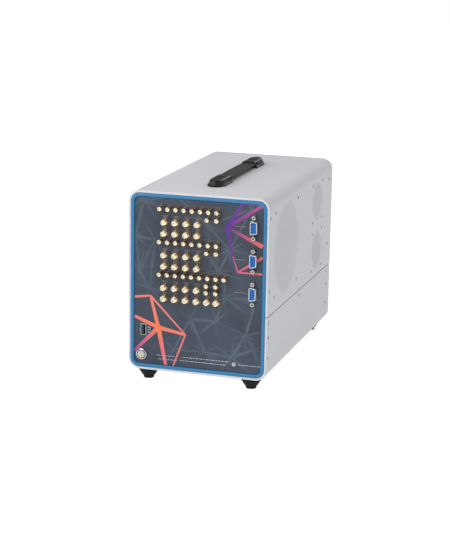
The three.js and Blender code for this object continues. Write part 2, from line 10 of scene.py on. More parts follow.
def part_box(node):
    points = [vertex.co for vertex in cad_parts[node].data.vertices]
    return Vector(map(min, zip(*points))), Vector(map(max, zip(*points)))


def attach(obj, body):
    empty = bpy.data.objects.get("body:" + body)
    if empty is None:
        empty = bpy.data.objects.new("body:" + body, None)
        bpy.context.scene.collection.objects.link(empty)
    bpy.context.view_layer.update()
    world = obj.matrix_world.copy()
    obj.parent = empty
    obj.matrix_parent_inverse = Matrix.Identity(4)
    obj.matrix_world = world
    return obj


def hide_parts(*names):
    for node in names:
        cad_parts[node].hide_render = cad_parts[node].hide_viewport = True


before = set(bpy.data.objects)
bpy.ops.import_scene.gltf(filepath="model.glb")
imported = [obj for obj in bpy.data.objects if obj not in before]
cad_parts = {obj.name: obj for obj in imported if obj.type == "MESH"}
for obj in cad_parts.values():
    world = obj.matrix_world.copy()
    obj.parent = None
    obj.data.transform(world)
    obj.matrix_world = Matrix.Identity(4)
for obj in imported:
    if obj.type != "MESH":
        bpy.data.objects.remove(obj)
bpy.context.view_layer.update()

# ---- sizes in millimetres ----------------------------------------------------------------
# x is measured from the middle of the front, y from the covers' front edge towards the back,
# and z from half the height of the covers. place() turns them into the frame's metres.
MM = 0.001
cover_low, cover_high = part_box("upper_cover")
base_low, base_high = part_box("lower_cover")
FRONT_Y = cover_low.y
MIDDLE_Z = (base_low.z + cover_high.z) / 2
WIDTH = (cover_high.x - cover_low.x) / MM
HEIGHT = (cover_high.z - base_low.z) / MM
COVER_DEPTH = (cover_high.y - cover_low.y) / MM
DEPTH = (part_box("rear_frame")[1].y - FRONT_Y) / MM
SEAM_TOP = (cover_low.z - MIDDLE_Z) / MM
SEAM_BOTTOM = (base_high.z - MIDDLE_Z) / MM
CORNER = 14  # outer radius of the case
SHEET = 2  # thickness of the covers
LIP_WIDTH, LIP_DEPTH = 3, 1.6  # the covers' folded front edge
GAP = 0.3  # left between neighbouring parts
HEAD = 2.2  # radius of the heads of case and fan screws
FAN_SCREW = {"large": 52.5, "upper": 25, "lower": 25}  # half the side of each fan's screw square
PERFORATION_PITCH = 3.0
MODULE_PITCH = 40.64  # from one row of modules down to the next
MODULES = range(3)
PANEL_FACE = 1.0
PANEL_CORNER = 7.4
INK_LEVEL = PANEL_FACE - 0.04  # y of the coloured strokes
INK_ROOT = PANEL_FACE + 0.02  # y where ink starts, just inside the panel
INK_MARGIN = 0.3  # left free along the panel's edges
JACK_TIP, JACK_BACK = -8.6, 4.5
SMALL_PITCH, SMALL_FIRST_X, SMALL_Z = 10.3, -46.9, 92.7
LARGE_PITCH, LARGE_FIRST_X, LARGE_Z, LARGE_ROW_GAP = 14, -42, 76, 13.8
PAIR_X = (13.2, 25.2)  # the two columns of jacks under the end of a row
DSUB_X, DSUB_Z, DSUB_SCREW_SPAN = 70.5, 77, 25
DSUB_WALL = 0.75
SLOT_COUNT, SLOT_WIDTH, SLOT_PITCH, SLOT_TOP = 13, 4, 8, 78  # exhaust slots, from z 0 up


def place(x, y, z):
    """A point of the case in the frame's metres."""
    return (x * MM, FRONT_Y + y * MM, MIDDLE_Z + z * MM)


class Room:
    """The box that a CAD node takes up, in the millimetres used here."""

    def __init__(self, node):
        self.low, self.high = (
            Vector((c.x / MM, (c.y - FRONT_Y) / MM, (c.z - MIDDLE_Z) / MM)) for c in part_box(node)
        )
        self.size = self.high - self.low
        self.x, self.y, self.z = (self.low + self.high) / 2


# ---- mesh building -----------------------------------------------------------------------
class Form:
    """Collects vertices, faces and the material index of each face, in millimetres."""

    def __init__(self):
        self.points, self.faces, self.finishes = [], [], []

    def add(self, points, faces, finish=0):
        """The finish is one material index, or a list with one for each face."""
        start = len(self.points)
        self.points += [tuple(p) for p in points]
        self.faces += [tuple(start + i for i in face) for face in faces]
        self.finishes += finish if isinstance(finish, list) else [finish] * len(faces)

    def join(self, other, matrix):
        self.add([matrix @ Vector(p) for p in other.points], other.faces, other.finishes)

    def moved(self, matrix):
        copy = Form()
        copy.join(self, matrix)
        return copy

    def loft(self, loops, finish=0, caps=(True, True), closed=False, skip=()):
        """Skins a row of loops with as many points each, and leaves out the skipped (row, side) faces."""
        rows, sides = len(loops), len(loops[0])
        faces = []
        for row in range(rows if closed else rows - 1):
            here, there = row * sides, (row + 1) % rows * sides
            for i in range(sides):
                j = (i + 1) % sides
                if (row, i) not in skip:
                    faces.append((here + i, here + j, there + j, there + i))
        if caps[0] and not closed:
            faces.append(tuple(reversed(range(sides))))
        if caps[1] and not closed:
            faces.append(tuple(range((rows - 1) * sides, rows * sides)))
        self.add([p for loop in loops for p in loop], faces, finish)

    def lathe(self, profile, x=0, z=0, sides=24, finish=0, turn=0.0, caps=(True, True)):
        """Turns (radius, y) pairs about the line along Y through x, z. A radius of 0 closes an end."""
        angles = [turn + 2 * math.pi * i / sides for i in range(sides)]
        loops = [[(x + r * math.sin(a), y, z + r * math.cos(a)) for a in angles] for r, y in profile]
        self.loft(loops, finish, caps)

    def build(self, name, materials, slot, *replaces, body="chassis", smooth=40, bevel=0.0):
        """Makes the piece. Edges sharper than smooth, in degrees, stay sharp. A bevel is in millimetres."""
        mesh = bpy.data.meshes.new(name)
        mesh.from_pydata([place(*p) for p in self.points], [], self.faces)
        for material in materials:
            mesh.materials.append(material)
        mesh.polygons.foreach_set("material_index", self.finishes)
        piece = bpy.data.objects.new(name, mesh)
        bpy.context.scene.collection.objects.link(piece)
        weld_and_face_out(mesh)
        mesh.shade_smooth()
        mesh.set_sharp_from_angle(angle=math.radians(smooth))
        if bevel:
            edge = piece.modifiers.new("edges", "BEVEL")
            edge.width = bevel * MM
            edge.segments = 2
            edge.limit_method = "ANGLE"
            edge.angle_limit = math.radians(50)
        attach(piece, body)
        if replaces:
            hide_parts(*replaces)


def weld_and_face_out(mesh):
    work = bmesh.new()
    work.from_mesh(mesh)
    bmesh.ops.remove_doubles(work, verts=work.verts, dist=0.002 * MM)
    bmesh.ops.dissolve_degenerate(work, edges=work.edges, dist=0.001 * MM)
    bmesh.ops.recalc_face_normals(work, faces=work.faces)
    work.to_mesh(mesh)
    work.free()


def standing(x, y, z, turn=0.0, axis="Z"):
    """The matrix that turns a form by an angle about an axis and moves its origin to a point."""
    return Matrix.Translation((x, y, z)) @ Matrix.Rotation(turn, 4, axis)


def circle(x, z, radius, sides=12):
    angles = [2 * math.pi * i / sides for i in range(sides)]
    return [(x + radius * math.cos(a), z + radius * math.sin(a)) for a in angles]


def round_polygon(corners, radius, steps=4):
    """The outline through corners with each one rounded, corners given anticlockwise."""
    outline = []
    for i, corner in enumerate(corners):
        here, before = Vector(corner), Vector(corners[i - 1])
        after = Vector(corners[(i + 1) % len(corners)])
        a, b = (before - here).normalized(), (after - here).normalized()
        half = a.angle(b) / 2
        start = here + a * radius / math.tan(half)
        middle = here + (a + b).normalized() * radius / math.sin(half)
        spoke = start - middle
        for k in range(steps + 1):
            turn = (math.pi - 2 * half) * k / steps
            c, s = math.cos(turn), math.sin(turn)
            outline.append((middle.x + spoke.x * c - spoke.y * s, middle.y + spoke.x * s + spoke.y * c))
    return outline


def rounded_rectangle(width, height, radius, x=0, z=0, steps=6):
    w, h = width / 2, height / 2
    return round_polygon([(x - w, z - h), (x + w, z - h), (x + w, z + h), (x - w, z + h)], radius, steps)


def at_y(outline, y):
    return [(x, y, z) for x, z in outline]


def inside(point, loop):
    """True if the point lies in the closed loop, by counting crossings."""
    x, z = point
    crossed = False
    for (x0, z0), (x1, z1) in zip(loop, [*loop[1:], loop[0]]):
        if (z0 > z) != (z1 > z) and x < (x1 - x0) * (z - z0) / (z1 - z0) + x0:
            crossed = not crossed
    return crossed


def triangulate(outline, holes):
    """Points and triangles of the flat region inside a convex outline and outside the holes."""
    points, edges, loop_of = [], [], []
    for number, loop in enumerate([outline, *holes]):
        start = len(points)
        points += [Vector(p) for p in loop]
        edges += [(start + i, start + (i + 1) % len(loop)) for i in range(len(loop))]
        loop_of += [number] * len(loop)
    made_points, _, made_faces, sources, _, _ = delaunay_2d_cdt(points, edges, [], 1, 1e-5)
    kept = []
    for face in made_faces:
        loops = {loop_of[sources[i][0]] if sources[i] else -1 for i in face}
        middle = sum((made_points[i] for i in face), Vector((0, 0))) / 3
        near = [holes[number - 1] for number in loops if number > 0]
        if (0 not in loops or inside(middle, outline)) and not any(inside(middle, hole) for hole in near):
            kept.append(tuple(face))
    return [tuple(p) for p in made_points], kept


def shrink(outline, by):
    """Moves an outline's points inwards along their normals."""
    count = len(outline)
    moved = []
    for i in range(count):
        before, here, after = (Vector(outline[j % count]) for j in (i - 1, i, i + 1))
        a, b = (here - before).normalized(), (after - here).normalized()
        inward = Vector((-(a.y + b.y), a.x + b.x)).normalized()
        moved.append(tuple(here + inward * by / max(0.5, inward.dot(Vector((-a.y, a.x))))))
    return moved


def holed_plate(form, outline, holes, y0, y1, edge=0.25):
    """A plate from y0 to y1 with its holes cut through and its outer front edge eased."""
    shrunk = shrink(outline, edge)
    for y, loop in ((y0, shrunk), (y1, outline)):
        points, faces = triangulate(loop, holes)
        form.add(at_y(points, y), faces)
    form.loft([at_y(shrunk, y0), at_y(outline, y0 + edge), at_y(outline, y1)], caps=(False, False))
    for hole in holes:
        form.loft([at_y(hole, y0), at_y(hole, y1)], caps=(False, False))


# ---- materials ---------------------------------------------------------------------------
class Nodes:
    """Short ways to make and link shader nodes in one material."""

    def __init__(self, name):
        self.material = bpy.data.materials.new(name)
        self.material.use_nodes = True
        self.tree = self.material.node_tree
        self.shader = self.tree.nodes["Principled BSDF"]
        self.place = self.new("ShaderNodeTexCoord").outputs["Object"]

    def new(self, kind, **settings):
        node = self.tree.nodes.new(kind)
        for key, value in settings.items():
            setattr(node, key, value)
        return node

    def put(self, value, socket):
        """Links a socket, or sets a number or colour on it."""
        if hasattr(value, "is_output"):
            self.tree.links.new(value, socket)
        elif socket.type == "RGBA":
            socket.default_value = (*value, 1)
        else:
            socket.default_value = value

    def fed(self, node, *values):
        """Puts the values on the node's first inputs."""
        for value, socket in zip(values, node.inputs):
            self.put(value, socket)
        return node.outputs

    def noise(self, scale, detail=3.0):
        node = self.new("ShaderNodeTexNoise")
        for name, value in (("Scale", scale), ("Detail", detail), ("Vector", self.place)):
            self.put(value, node.inputs[name])
        return node.outputs["Fac"]

    def mapped(self, source, low, high, start=0.3, end=0.7, smooth=False):
        node = self.new("ShaderNodeMapRange", interpolation_type="SMOOTHSTEP" if smooth else "LINEAR")
        return self.fed(node, source, start, end, low, high)["Result"]

    def mixed(self, factor, a, b):
        node = self.new("ShaderNodeMix", data_type="RGBA")
        for value, socket in ((factor, node.inputs[0]), (a, node.inputs[6]), (b, node.inputs[7])):
            self.put(value, socket)
        return node.outputs[2]

    def math(self, operation, a, b=0.0):
        return self.fed(self.new("ShaderNodeMath", operation=operation), a, b)[0]

    def vector(self, operation, a, b):
        outputs = self.fed(self.new("ShaderNodeVectorMath", operation=operation), a, b)
        return outputs["Value" if operation == "DOT_PRODUCT" else "Vector"]

    def relief(self, height, depth):
        node = self.new("ShaderNodeBump")
        for name, value in (("Strength", 0.6), ("Distance", depth * MM), ("Height", height)):
            self.put(value, node.inputs[name])
        self.put(node.outputs["Normal"], self.shader.inputs["Normal"])


def surface(
    name, colour, roughness, metallic=0.0, grain=900, bump=0.02, shade=0.08, coat=0.0, shine=0.5,
    gradient=None, speckle=0.0,
):
    """A Principled material whose colour, roughness and surface vary with noise in object space.

    grain is the fine noise's scale per metre, bump its depth in millimetres, shade how far the colour
    strays, speckle how far the grain lightens it, and gradient (second, start, end) a second colour
    that takes over from the first between two points."""
    drift = 0.08  # how far roughness strays
    n = Nodes(name)
    for value, socket in ((metallic, "Metallic"), (coat, "Coat Weight"), (shine, "Specular IOR Level")):
        n.put(value, n.shader.inputs[socket])
    broad, fine = n.noise(9.0, 4.0), n.noise(grain)
    if gradient:
        second, start, end = gradient
        reach = Vector(place(*end)) - Vector(place(*start))
        offset = n.vector("SUBTRACT", n.place, place(*start))
        along = n.vector("DOT_PRODUCT", offset, reach / reach.length_squared)
        tone = n.mixed(n.mapped(along, 0, 1, 0, 1), colour, second)
    else:
        darker = tuple(c * (1 - shade) for c in colour)
        lighter = tuple(min(1, c * (1 + shade)) for c in colour)
        tone = n.mixed(n.mapped(broad, 0, 1), darker, lighter)
    if speckle:
        fleck = tuple(min(1, c * 1.6 + 0.02) for c in colour)
        tone = n.mixed(n.mapped(fine, 0, speckle, 0.55, 0.75), tone, fleck)
    n.put(tone, n.shader.inputs["Base Color"])
    worn = n.mapped(broad if metallic else fine, roughness - drift, roughness + drift)
    n.put(worn, n.shader.inputs["Roughness"])
    n.relief(fine, bump)
    return n.material


def ink(name, colour, roughness=0.5, **looks):
    looks = {"grain": 1500, "bump": 0.01, "shade": 0.15, "shine": 0.3, **looks}
    return surface(name, colour, roughness, **looks)


PRINT_STARS = [
    (-70, 101), (-55, 52), (-75, 12), (-80, 56), (-62, -8), (11, 76), (16, 36), (40, 47), (26, 18),
    (35, -12), (23, -43), (-9, -43), (11, -83), (44, -87), (72, -74), (62, -57), (-30, -84), (66, 98),
    (-28, 108), (74, -12),
]


def print_streaks(rng):
    """Links from each star to its two nearest ones, and three rays from it: start, end, whether a ray."""
    streaks = []
    for star in PRINT_STARS:
        for other in sorted(PRINT_STARS, key=lambda spot: math.dist(star, spot))[1:3]:
            if (other, star, False) not in streaks:
                streaks.append((star, other, False))
        first = rng.uniform(0, 2)
        for k in range(3):
            angle = first + 2.1 * k + rng.uniform(-0.4, 0.4)
            length = rng.uniform(18, 42)
            tip = (star[0] + length * math.cos(angle), star[1] + length * math.sin(angle))
            streaks.append((star, tip, True))
    return streaks


def panel_print():
    """Dark slate print crossed by faint straight streaks that meet in loose stars and fade out as rays."""
    n = Nodes("slate_panel_print")
    rng = random.Random(23)
    glow = 0.0
    for a, b, is_ray in print_streaks(rng):
        half_width = rng.uniform(0.6, 2.2)
        strength = rng.uniform(0.25, 0.62)
        start, end = Vector(place(a[0], 0, a[1])), Vector(place(b[0], 0, b[1]))
        along = end - start
        across = Vector((-along.z, 0, along.x)).normalized()
        offset = n.vector("SUBTRACT", n.place, start)
        share = n.vector("DOT_PRODUCT", offset, along / along.length_squared)
        away = n.math("ABSOLUTE", n.vector("DOT_PRODUCT", offset, across))
        core = n.mapped(away, strength, 0, 0.2 * half_width * MM, (half_width + 0.7) * MM, smooth=True)
        brightest, fade_start, fade_end = (0.1, 0.1, 0.9) if is_ray else (0.5, 0.35, 0.62)
        off_centre = n.math("ABSOLUTE", n.math("SUBTRACT", share, brightest))
        fade = n.mapped(off_centre, 1, 0, fade_start, fade_end, smooth=not is_ray)
        glow = n.math("MAXIMUM", n.math("MULTIPLY", core, fade), glow)
    haze = n.mapped(n.noise(45.0, 4.0), 0, 1, 0.35, 0.7)
    slate = n.mixed(n.mapped(n.noise(16.0, 5.0), 0, 1), (0.019, 0.028, 0.044), (0.039, 0.055, 0.084))
    slate = n.mixed(n.math("MULTIPLY", haze, 0.35), slate, (0.034, 0.038, 0.062))
    broken = n.math("MULTIPLY", glow, n.mapped(haze, 0.45, 1, 0, 1))
    n.put(n.mixed(broken, slate, (0.105, 0.15, 0.19)), n.shader.inputs["Base Color"])
    n.put(0.35, n.shader.inputs["Specular IOR Level"])
    fine = n.noise(1500.0)
    n.put(n.mapped(fine, 0.34, 0.48), n.shader.inputs["Roughness"])
    n.relief(fine, 0.015)
    return n.material


paint = surface("grey_powder_coat", (0.525, 0.53, 0.552), 0.6, bump=0.06, shade=0.015, shine=0.2)
ring_paint = surface(
    "blue_satin_paint", (0.025, 0.16, 0.33), 0.36, grain=700, bump=0.03, shade=0.04, shine=0.25
)
legend_ink = ink("dull_brown_ink", (0.17, 0.12, 0.09))
grey_ink = ink("grey_ink", (0.10, 0.105, 0.11))
pale_ink = ink("pale_ink", (0.30, 0.33, 0.36), shade=0.2)
gold = surface("gold_plate", (0.89, 0.79, 0.56), 0.30, 1.0, bump=0.01)
# Gold darkened to paint shade on the jacks' nuts, washers, flanges and rear sleeves.
painted_shade_gold = surface("gold_with_painted_shade", (0.25, 0.17, 0.095), 0.42, 1.0, shade=0.2)
nickel = surface("bright_nickel", (0.70, 0.70, 0.69), 0.28, 1.0, bump=0.01, shade=0.06)
dull_nickel = surface("dull_nickel", (0.52, 0.52, 0.46), 0.4, 1.0, grain=700, shade=0.15)
satin_steel = surface("satin_tin_plate", (0.80, 0.79, 0.74), 0.5, 1.0, shade=0.06)
zinc = surface("zinc_plate", (0.55, 0.56, 0.57), 0.38, 1.0, grain=60, shade=0.14)
milled = surface("milled_aluminium", (0.62, 0.63, 0.64), 0.4, 1.0, grain=500)
dull_screw = surface("dull_zinc_screw", (0.34, 0.34, 0.35), 0.45, 0.8, shade=0.2)
ptfe = surface("white_dielectric", (0.80, 0.77, 0.68), 0.45, bump=0.01, shade=0.03)
navy_nylon = surface("navy_nylon", (0.006, 0.035, 0.095), 0.4, shine=0.3)
blue_nylon = surface("blue_nylon", (0.018, 0.155, 0.52), 0.4, shine=0.3)
rubber = surface("moulded_rubber", (0.008, 0.0085, 0.011), 0.75, grain=700, bump=0.09, shade=0.2, shine=0.12)
strap_skin = surface(
    "grained_vinyl", (0.05, 0.051, 0.053), 0.6, grain=1300, bump=0.18, shade=0.15, shine=0.3, speckle=0.3
)
black_plastic = surface(
    "grained_black_plastic", (0.008, 0.0085, 0.0095), 0.45, grain=1100, bump=0.07, shade=0.15, shine=0.35
)
# Near-black that paints the shade inside screw recesses, socket holes, slots, bores and port mouths.
painted_cavity_shade = surface("painted_cavity_shade", (0.006, 0.006, 0.007), 0.7, grain=700, bump=0.03, shade=0.2, shine=0.2)
lens = surface("cream_button_lens", (0.40, 0.41, 0.35), 0.28, shade=0.05, coat=0.2)
solder_mask = surface(
    "green_solder_mask", (0.012, 0.1, 0.04), 0.35, grain=300, bump=0.05, shade=0.3, speckle=0.5
)


# ---- covers ------------------------------------------------------------------------------
# Radius of each perforated disc and of its holes. screens adds where its middle is: y, z.
DISC = {"large": (57, 0.72), "upper": (26, 0.85), "lower": (26, 0.85)}
fans = {word: Room(f"{word}_fan_frame") for word in FAN_SCREW}
screens = {word: (fan.y, fan.z, *DISC[word]) for word, fan in fans.items()}
case_columns = (5.0, COVER_DEPTH - 7.5)  # y of the front and rear columns of case screws
upper_case_screws = [(y, z) for y in case_columns for z in (88.5, -1)]
lower_case_screws = [(y, z) for y in case_columns for z in (-40, -58, -84)]
lower_case_screws.append((COVER_DEPTH / 2 - 2, -39))


def fan_screws(words):
    return [
        (fans[word].y + a * FAN_SCREW[word], fans[word].z + b * FAN_SCREW[word])
        for word in words
        for a in (-1, 1)
        for b in (-1, 1)
    ]


def wall_stations(z_start, sign):
    """The cover's outline from the right seam round to the left one: x, z, normal and how far eased."""
    w, h, ease, steps = WIDTH / 2, HEIGHT / 2, 0.3, 10
    right = [(w, z_start, 1, 0, ease), (w, z_start + sign * ease, 1, 0, 0)]
    for k in range(steps + 1):
        a = math.pi / 2 * k / steps
        nx, nz = math.cos(a), sign * math.sin(a)
        right.append((w - CORNER + CORNER * nx, sign * (h - CORNER) + CORNER * nz, nx, nz, 0))
    return right + [(-x, z, -nx, nz, e) for x, z, nx, nz, e in reversed(right)]


def cover_section():
    """The sheet cut through along Y as (inset, y): from the bend at the front round to the folded lip."""
    bend, ease, steps = 1.3, 0.3, 4
    turns = [math.pi / 2 * k / steps for k in range(steps + 1)]
    return [
        *((bend - bend * math.sin(a), bend - bend * math.cos(a)) for a in turns),
        (0, COVER_DEPTH - ease), (ease, COVER_DEPTH), (SHEET - ease, COVER_DEPTH),
        (SHEET, COVER_DEPTH - ease), (SHEET, LIP_DEPTH), (LIP_WIDTH - 0.2, LIP_DEPTH),
        (LIP_WIDTH, LIP_DEPTH - 0.2),
        (LIP_WIDTH, ease), (LIP_WIDTH - ease, 0),
    ]


OUTER_EDGE, INNER_EDGE = 4, 8  # the section's long outer and inner faces start at these points


def perforation(cy, cz, radius, hole):
    """Round holes on a triangular grid that fit inside a disc."""
    holes = []
    reach = int(radius / PERFORATION_PITCH) + 2
    for row in range(-reach, reach + 1):
        z = row * PERFORATION_PITCH * math.sqrt(3) / 2
        for column in range(-reach, reach + 1):
            y = (column + (row % 2) / 2) * PERFORATION_PITCH
            if math.hypot(y, z) + hole <= radius:
                holes.append(circle(cy + y, cz + z, hole, 6))
    return holes


def build_cover(name, z_start, sign, side_holes, *nodes):
    """One cover. side_holes are the (y, z) outlines cut through the right (1) and left (-1) walls."""
    form = Form()
    section = cover_section()
    stations = wall_stations(z_start, sign)
    loops = [
        [(x - nx * max(d, ease), y, z - nz * max(d, ease)) for d, y in section]
        for x, z, nx, nz, ease in stations
    ]
    walls = {1: 1, -1: len(stations) - 3}  # the row of faces that is each side wall
    form.loft(loops, skip={(row, i) for row in walls.values() for i in (OUTER_EDGE, INNER_EDGE)})
    for side, row in walls.items():
        low_z, high_z = sorted((stations[row][1], stations[row + 1][1]))
        for edge, inset in ((OUTER_EDGE, 0), (INNER_EDGE, SHEET)):
            low_y, high_y = sorted((section[edge][1], section[edge + 1][1]))
            outline = [(low_y, low_z), (high_y, low_z), (high_y, high_z), (low_y, high_z)]
            points, faces = triangulate(outline, side_holes[side])
            form.add([(side * (WIDTH / 2 - inset), y, z) for y, z in points], faces)
        for hole in side_holes[side]:
            rims = [[(side * (WIDTH / 2 - inset), y, z) for y, z in hole] for inset in (0, SHEET)]
            form.loft(rims, caps=(False, False))
    form.build(name, [paint], "cover_paint", *nodes)


def screw_holes(places):
    return [circle(y, z, HEAD + 0.25, 20) for y, z in places]


def build_covers():
    upper_holes, lower_holes, screws = {}, {}, {}
    for side, words in ((1, list(screens)), (-1, ["large"])):
        upper_screws = upper_case_screws + fan_screws(words)
        discs = [hole for word in words for hole in perforation(*screens[word])]
        upper_holes[side] = discs + screw_holes(upper_screws)
        lower_holes[side] = screw_holes(lower_case_screws)
        screws[side] = upper_screws + lower_case_screws
    build_cover(
        "upper_cover_sheet", SEAM_TOP, 1, upper_holes,
        "upper_cover", "large_screen", "upper_screen", "lower_screen", "intake_screen",
    )
    build_cover("lower_cover_sheet", SEAM_BOTTOM, -1, lower_holes, "lower_cover")
    for side, word in ((1, "right"), (-1, "left")):
        heads = Form()
        for y, z in screws[side]:
            heads.join(screw_head(HEAD), standing(side * WIDTH / 2, y, z, side * math.pi / 2))
        heads.build(f"case_screws_{word}", [dull_screw, painted_cavity_shade], "plastic_black", smooth=35)


def screw_head(radius):
    """A countersunk head with a cross recess. Its face looks along -Y."""
    form = Form()
    arm, reach, dome, recess, sides = radius * 0.17, radius * 0.62, 0.25, 1.0, 20
    cross = [
        (arm, -reach), (arm, -arm), (reach, -arm), (reach, arm), (arm, arm), (arm, reach),
        (-arm, reach), (-arm, arm), (-reach, arm), (-reach, -arm), (-arm, -arm), (-arm, -reach),
    ]
    rim = circle(0, 0, radius * 0.86, sides)
    points, faces = triangulate(rim, [cross])
    form.add(at_y(points, -dome), faces)
    # The cross recess is lined with painted shade.
    form.loft([at_y(cross, -dome), at_y(cross, recess)], 1, caps=(False, True))
    cone = [at_y(circle(0, 0, radius * share, sides), y) for share, y in ((1, 0), (0.6, 1.6))]
    form.loft([at_y(rim, -dome), *cone], caps=(False, True))
    return form


# ---- frames, ring and panel --------------------------------------------------------------
def build_ring(name, material, slot, node, inset, corner, section, smooth):
    """Sweeps (inset, y) points round the case's outline as a closed band."""
    form = Form()
    form.loft([
        at_y(rounded_rectangle(WIDTH - 2 * (inset + d), HEIGHT - 2 * (inset + d), corner - d, steps=10), y)
        for d, y in section
    ], closed=True)
    form.build(name, [material], slot, node, smooth=smooth)


def build_frames():
    front, back = COVER_DEPTH + GAP, DEPTH
    step = front - 13  # the covers lie on the frame from here to its visible strip
    ledge = back - 5  # the rear panel's seat
    build_ring("rear_frame_casting", paint, "cover_paint", "rear_frame", 0, CORNER, [
        (0.3, front), (0, front + 0.3), (0, back - 1.6), (0.5, back - 0.5), (1.6, back), (4.7, back),
        (5, back - 0.3), (5, ledge), (8, ledge), (8, step), (2.3, step), (2.3, front),
    ], 40)
    room = Room("front_trim_ring")
    width, corner, overlap = 4.5, 11.5, 0.2
    inset = WIDTH / 2 - room.high.x - overlap
    front, back = room.low.y, room.high.y
    build_ring("trim_ring", ring_paint, "trim_blue", "front_trim_ring", inset, corner, [
        (0, back), (0, front + 0.9), (0.25, front + 0.3), (0.9, front), (width - 1.1, front),
        (width - 0.35, front + 0.35), (width, front + 1.1), (width, back),
    ], 50)


def small_places(row):
    z = SMALL_Z - row * MODULE_PITCH
    places = [(SMALL_FIRST_X + i * SMALL_PITCH, z) for i in range(9 if row == 2 else 8)]
    drops = (9.6, 17.9) if row == 2 else (9.6,)
    return places + [(x, z - drop) for drop in drops for x in PAIR_X]


def large_places(row):
    z = LARGE_Z - row * MODULE_PITCH
    places = [(LARGE_FIRST_X + i * LARGE_PITCH, z - drop) for drop in (0, LARGE_ROW_GAP) for i in range(4)]
    return places + ([(x, z - LARGE_ROW_GAP) for x in PAIR_X] if row == 2 else [])


def dsub_outline(row, grow=0.0):
    """The shell's D, grown or shrunk on every side."""
    z = DSUB_Z - row * MODULE_PITCH
    w, h, slope = 4.2 + grow, 8.45 + grow, 1.4
    left, right = DSUB_X - w, DSUB_X + w
    return round_polygon(
        [(left, z - h), (right, z - h + slope), (right, z + h - slope), (left, z + h)], max(0.5, 1.6 + grow)
    )


def dsub_screws(row):
    return [(DSUB_X, DSUB_Z - row * MODULE_PITCH + end * DSUB_SCREW_SPAN / 2) for end in (-1, 1)]


panel, usb, button = Room("front_panel"), Room("usb_shell"), Room("button_housing")


def build_panel():
    small_radius, large_radius, screw_radius, button_radius = 2.75, 3.4, 1.8, 5.9
    usb_width, usb_height, usb_corner, dsub_play = 7.2, 14.2, 0.6, 0.35
    holes = []
    for row in MODULES:
        holes += [circle(x, z, small_radius, 20) for x, z in small_places(row)]
        holes += [circle(x, z, large_radius, 20) for x, z in large_places(row)]
        holes.append(dsub_outline(row, dsub_play))
        holes += [circle(x, z, screw_radius, 16) for x, z in dsub_screws(row)]
    holes.append(rounded_rectangle(usb_width, usb_height, usb_corner, usb.x, usb.z, 2))
    holes.append(circle(button.x, button.z, button_radius, 28))
    plate = Form()
    outline = rounded_rectangle(2 * panel.high.x, 2 * panel.high.z, PANEL_CORNER)
    holed_plate(plate, outline, holes, PANEL_FACE, panel.high.y)
    plate.build("front_panel_plate", [panel_print()], "panel_print", "front_panel", smooth=30)


# ---- printed strokes ---------------------------------------------------------------------
def stroke(a, b, width_a, width_b=None):
    """The outline of a straight stroke that tapers from one width to another."""
    a, b = Vector(a), Vector(b)
    along = (b - a).normalized()
    side = Vector((-along.y, along.x))
    wa, wb = width_a / 2, (width_b or width_a) / 2
    return [tuple(p) for p in (a - side * wa, b - side * wb, b + side * wb, a + side * wa)]


def level_stroke(x, z, reach, width):
    return stroke((x - reach, z), (x + reach, z), width)


def clipped(a, b):
    """The part of a line that lies on the panel, just short of its edges."""
    a, b = Vector(a), Vector(b)
    t0, t1 = 0.0, 1.0
    for i, half in ((0, panel.high.x - INK_MARGIN), (1, panel.high.z - INK_MARGIN)):
        step = b[i] - a[i]
        for sign in (-1, 1):
            if abs(step) > 1e-9:
                t = (sign * half - a[i]) / step
                if step * sign > 0:
                    t1 = min(t1, t)
                else:
                    t0 = max(t0, t)
    return tuple(a + (b - a) * t0), tuple(a + (b - a) * t1)


def printed(form, loops, y):
    """Thin ink, a few hundredths of a millimetre proud of the panel."""
    for loop in loops:
        form.loft([at_y(loop, y), at_y(loop, INK_ROOT)], caps=(True, False))


def bright_ink(name, first, second=None, start=None, end=None):
    """Ink that runs from one colour to another between two (x, z) points, or keeps the first colour."""
    gradient = second and (second, (start[0], 0, start[1]), (end[0], 0, end[1]))
    return ink(name, first, 0.4, shade=0.05, shine=0.25, gradient=gradient)


def print_strokes(piece_word, ink_word, strokes):
    """Each stroke is its two ends, its width at each, and its colour at each."""
    rise = 0.004  # each stroke lies a little above the one before, so crossings stay clean
    for i, (a, b, width_a, width_b, first, second) in enumerate(strokes):
        ends = clipped(a, b)
        form = Form()
        printed(form, [stroke(*ends, width_a, width_b)], INK_LEVEL - rise * i)
        material = bright_ink(f"{ink_word}_{i + 1}", first, second, *ends)
        form.build(f"{piece_word}_{i + 1}", [material], "panel_print")


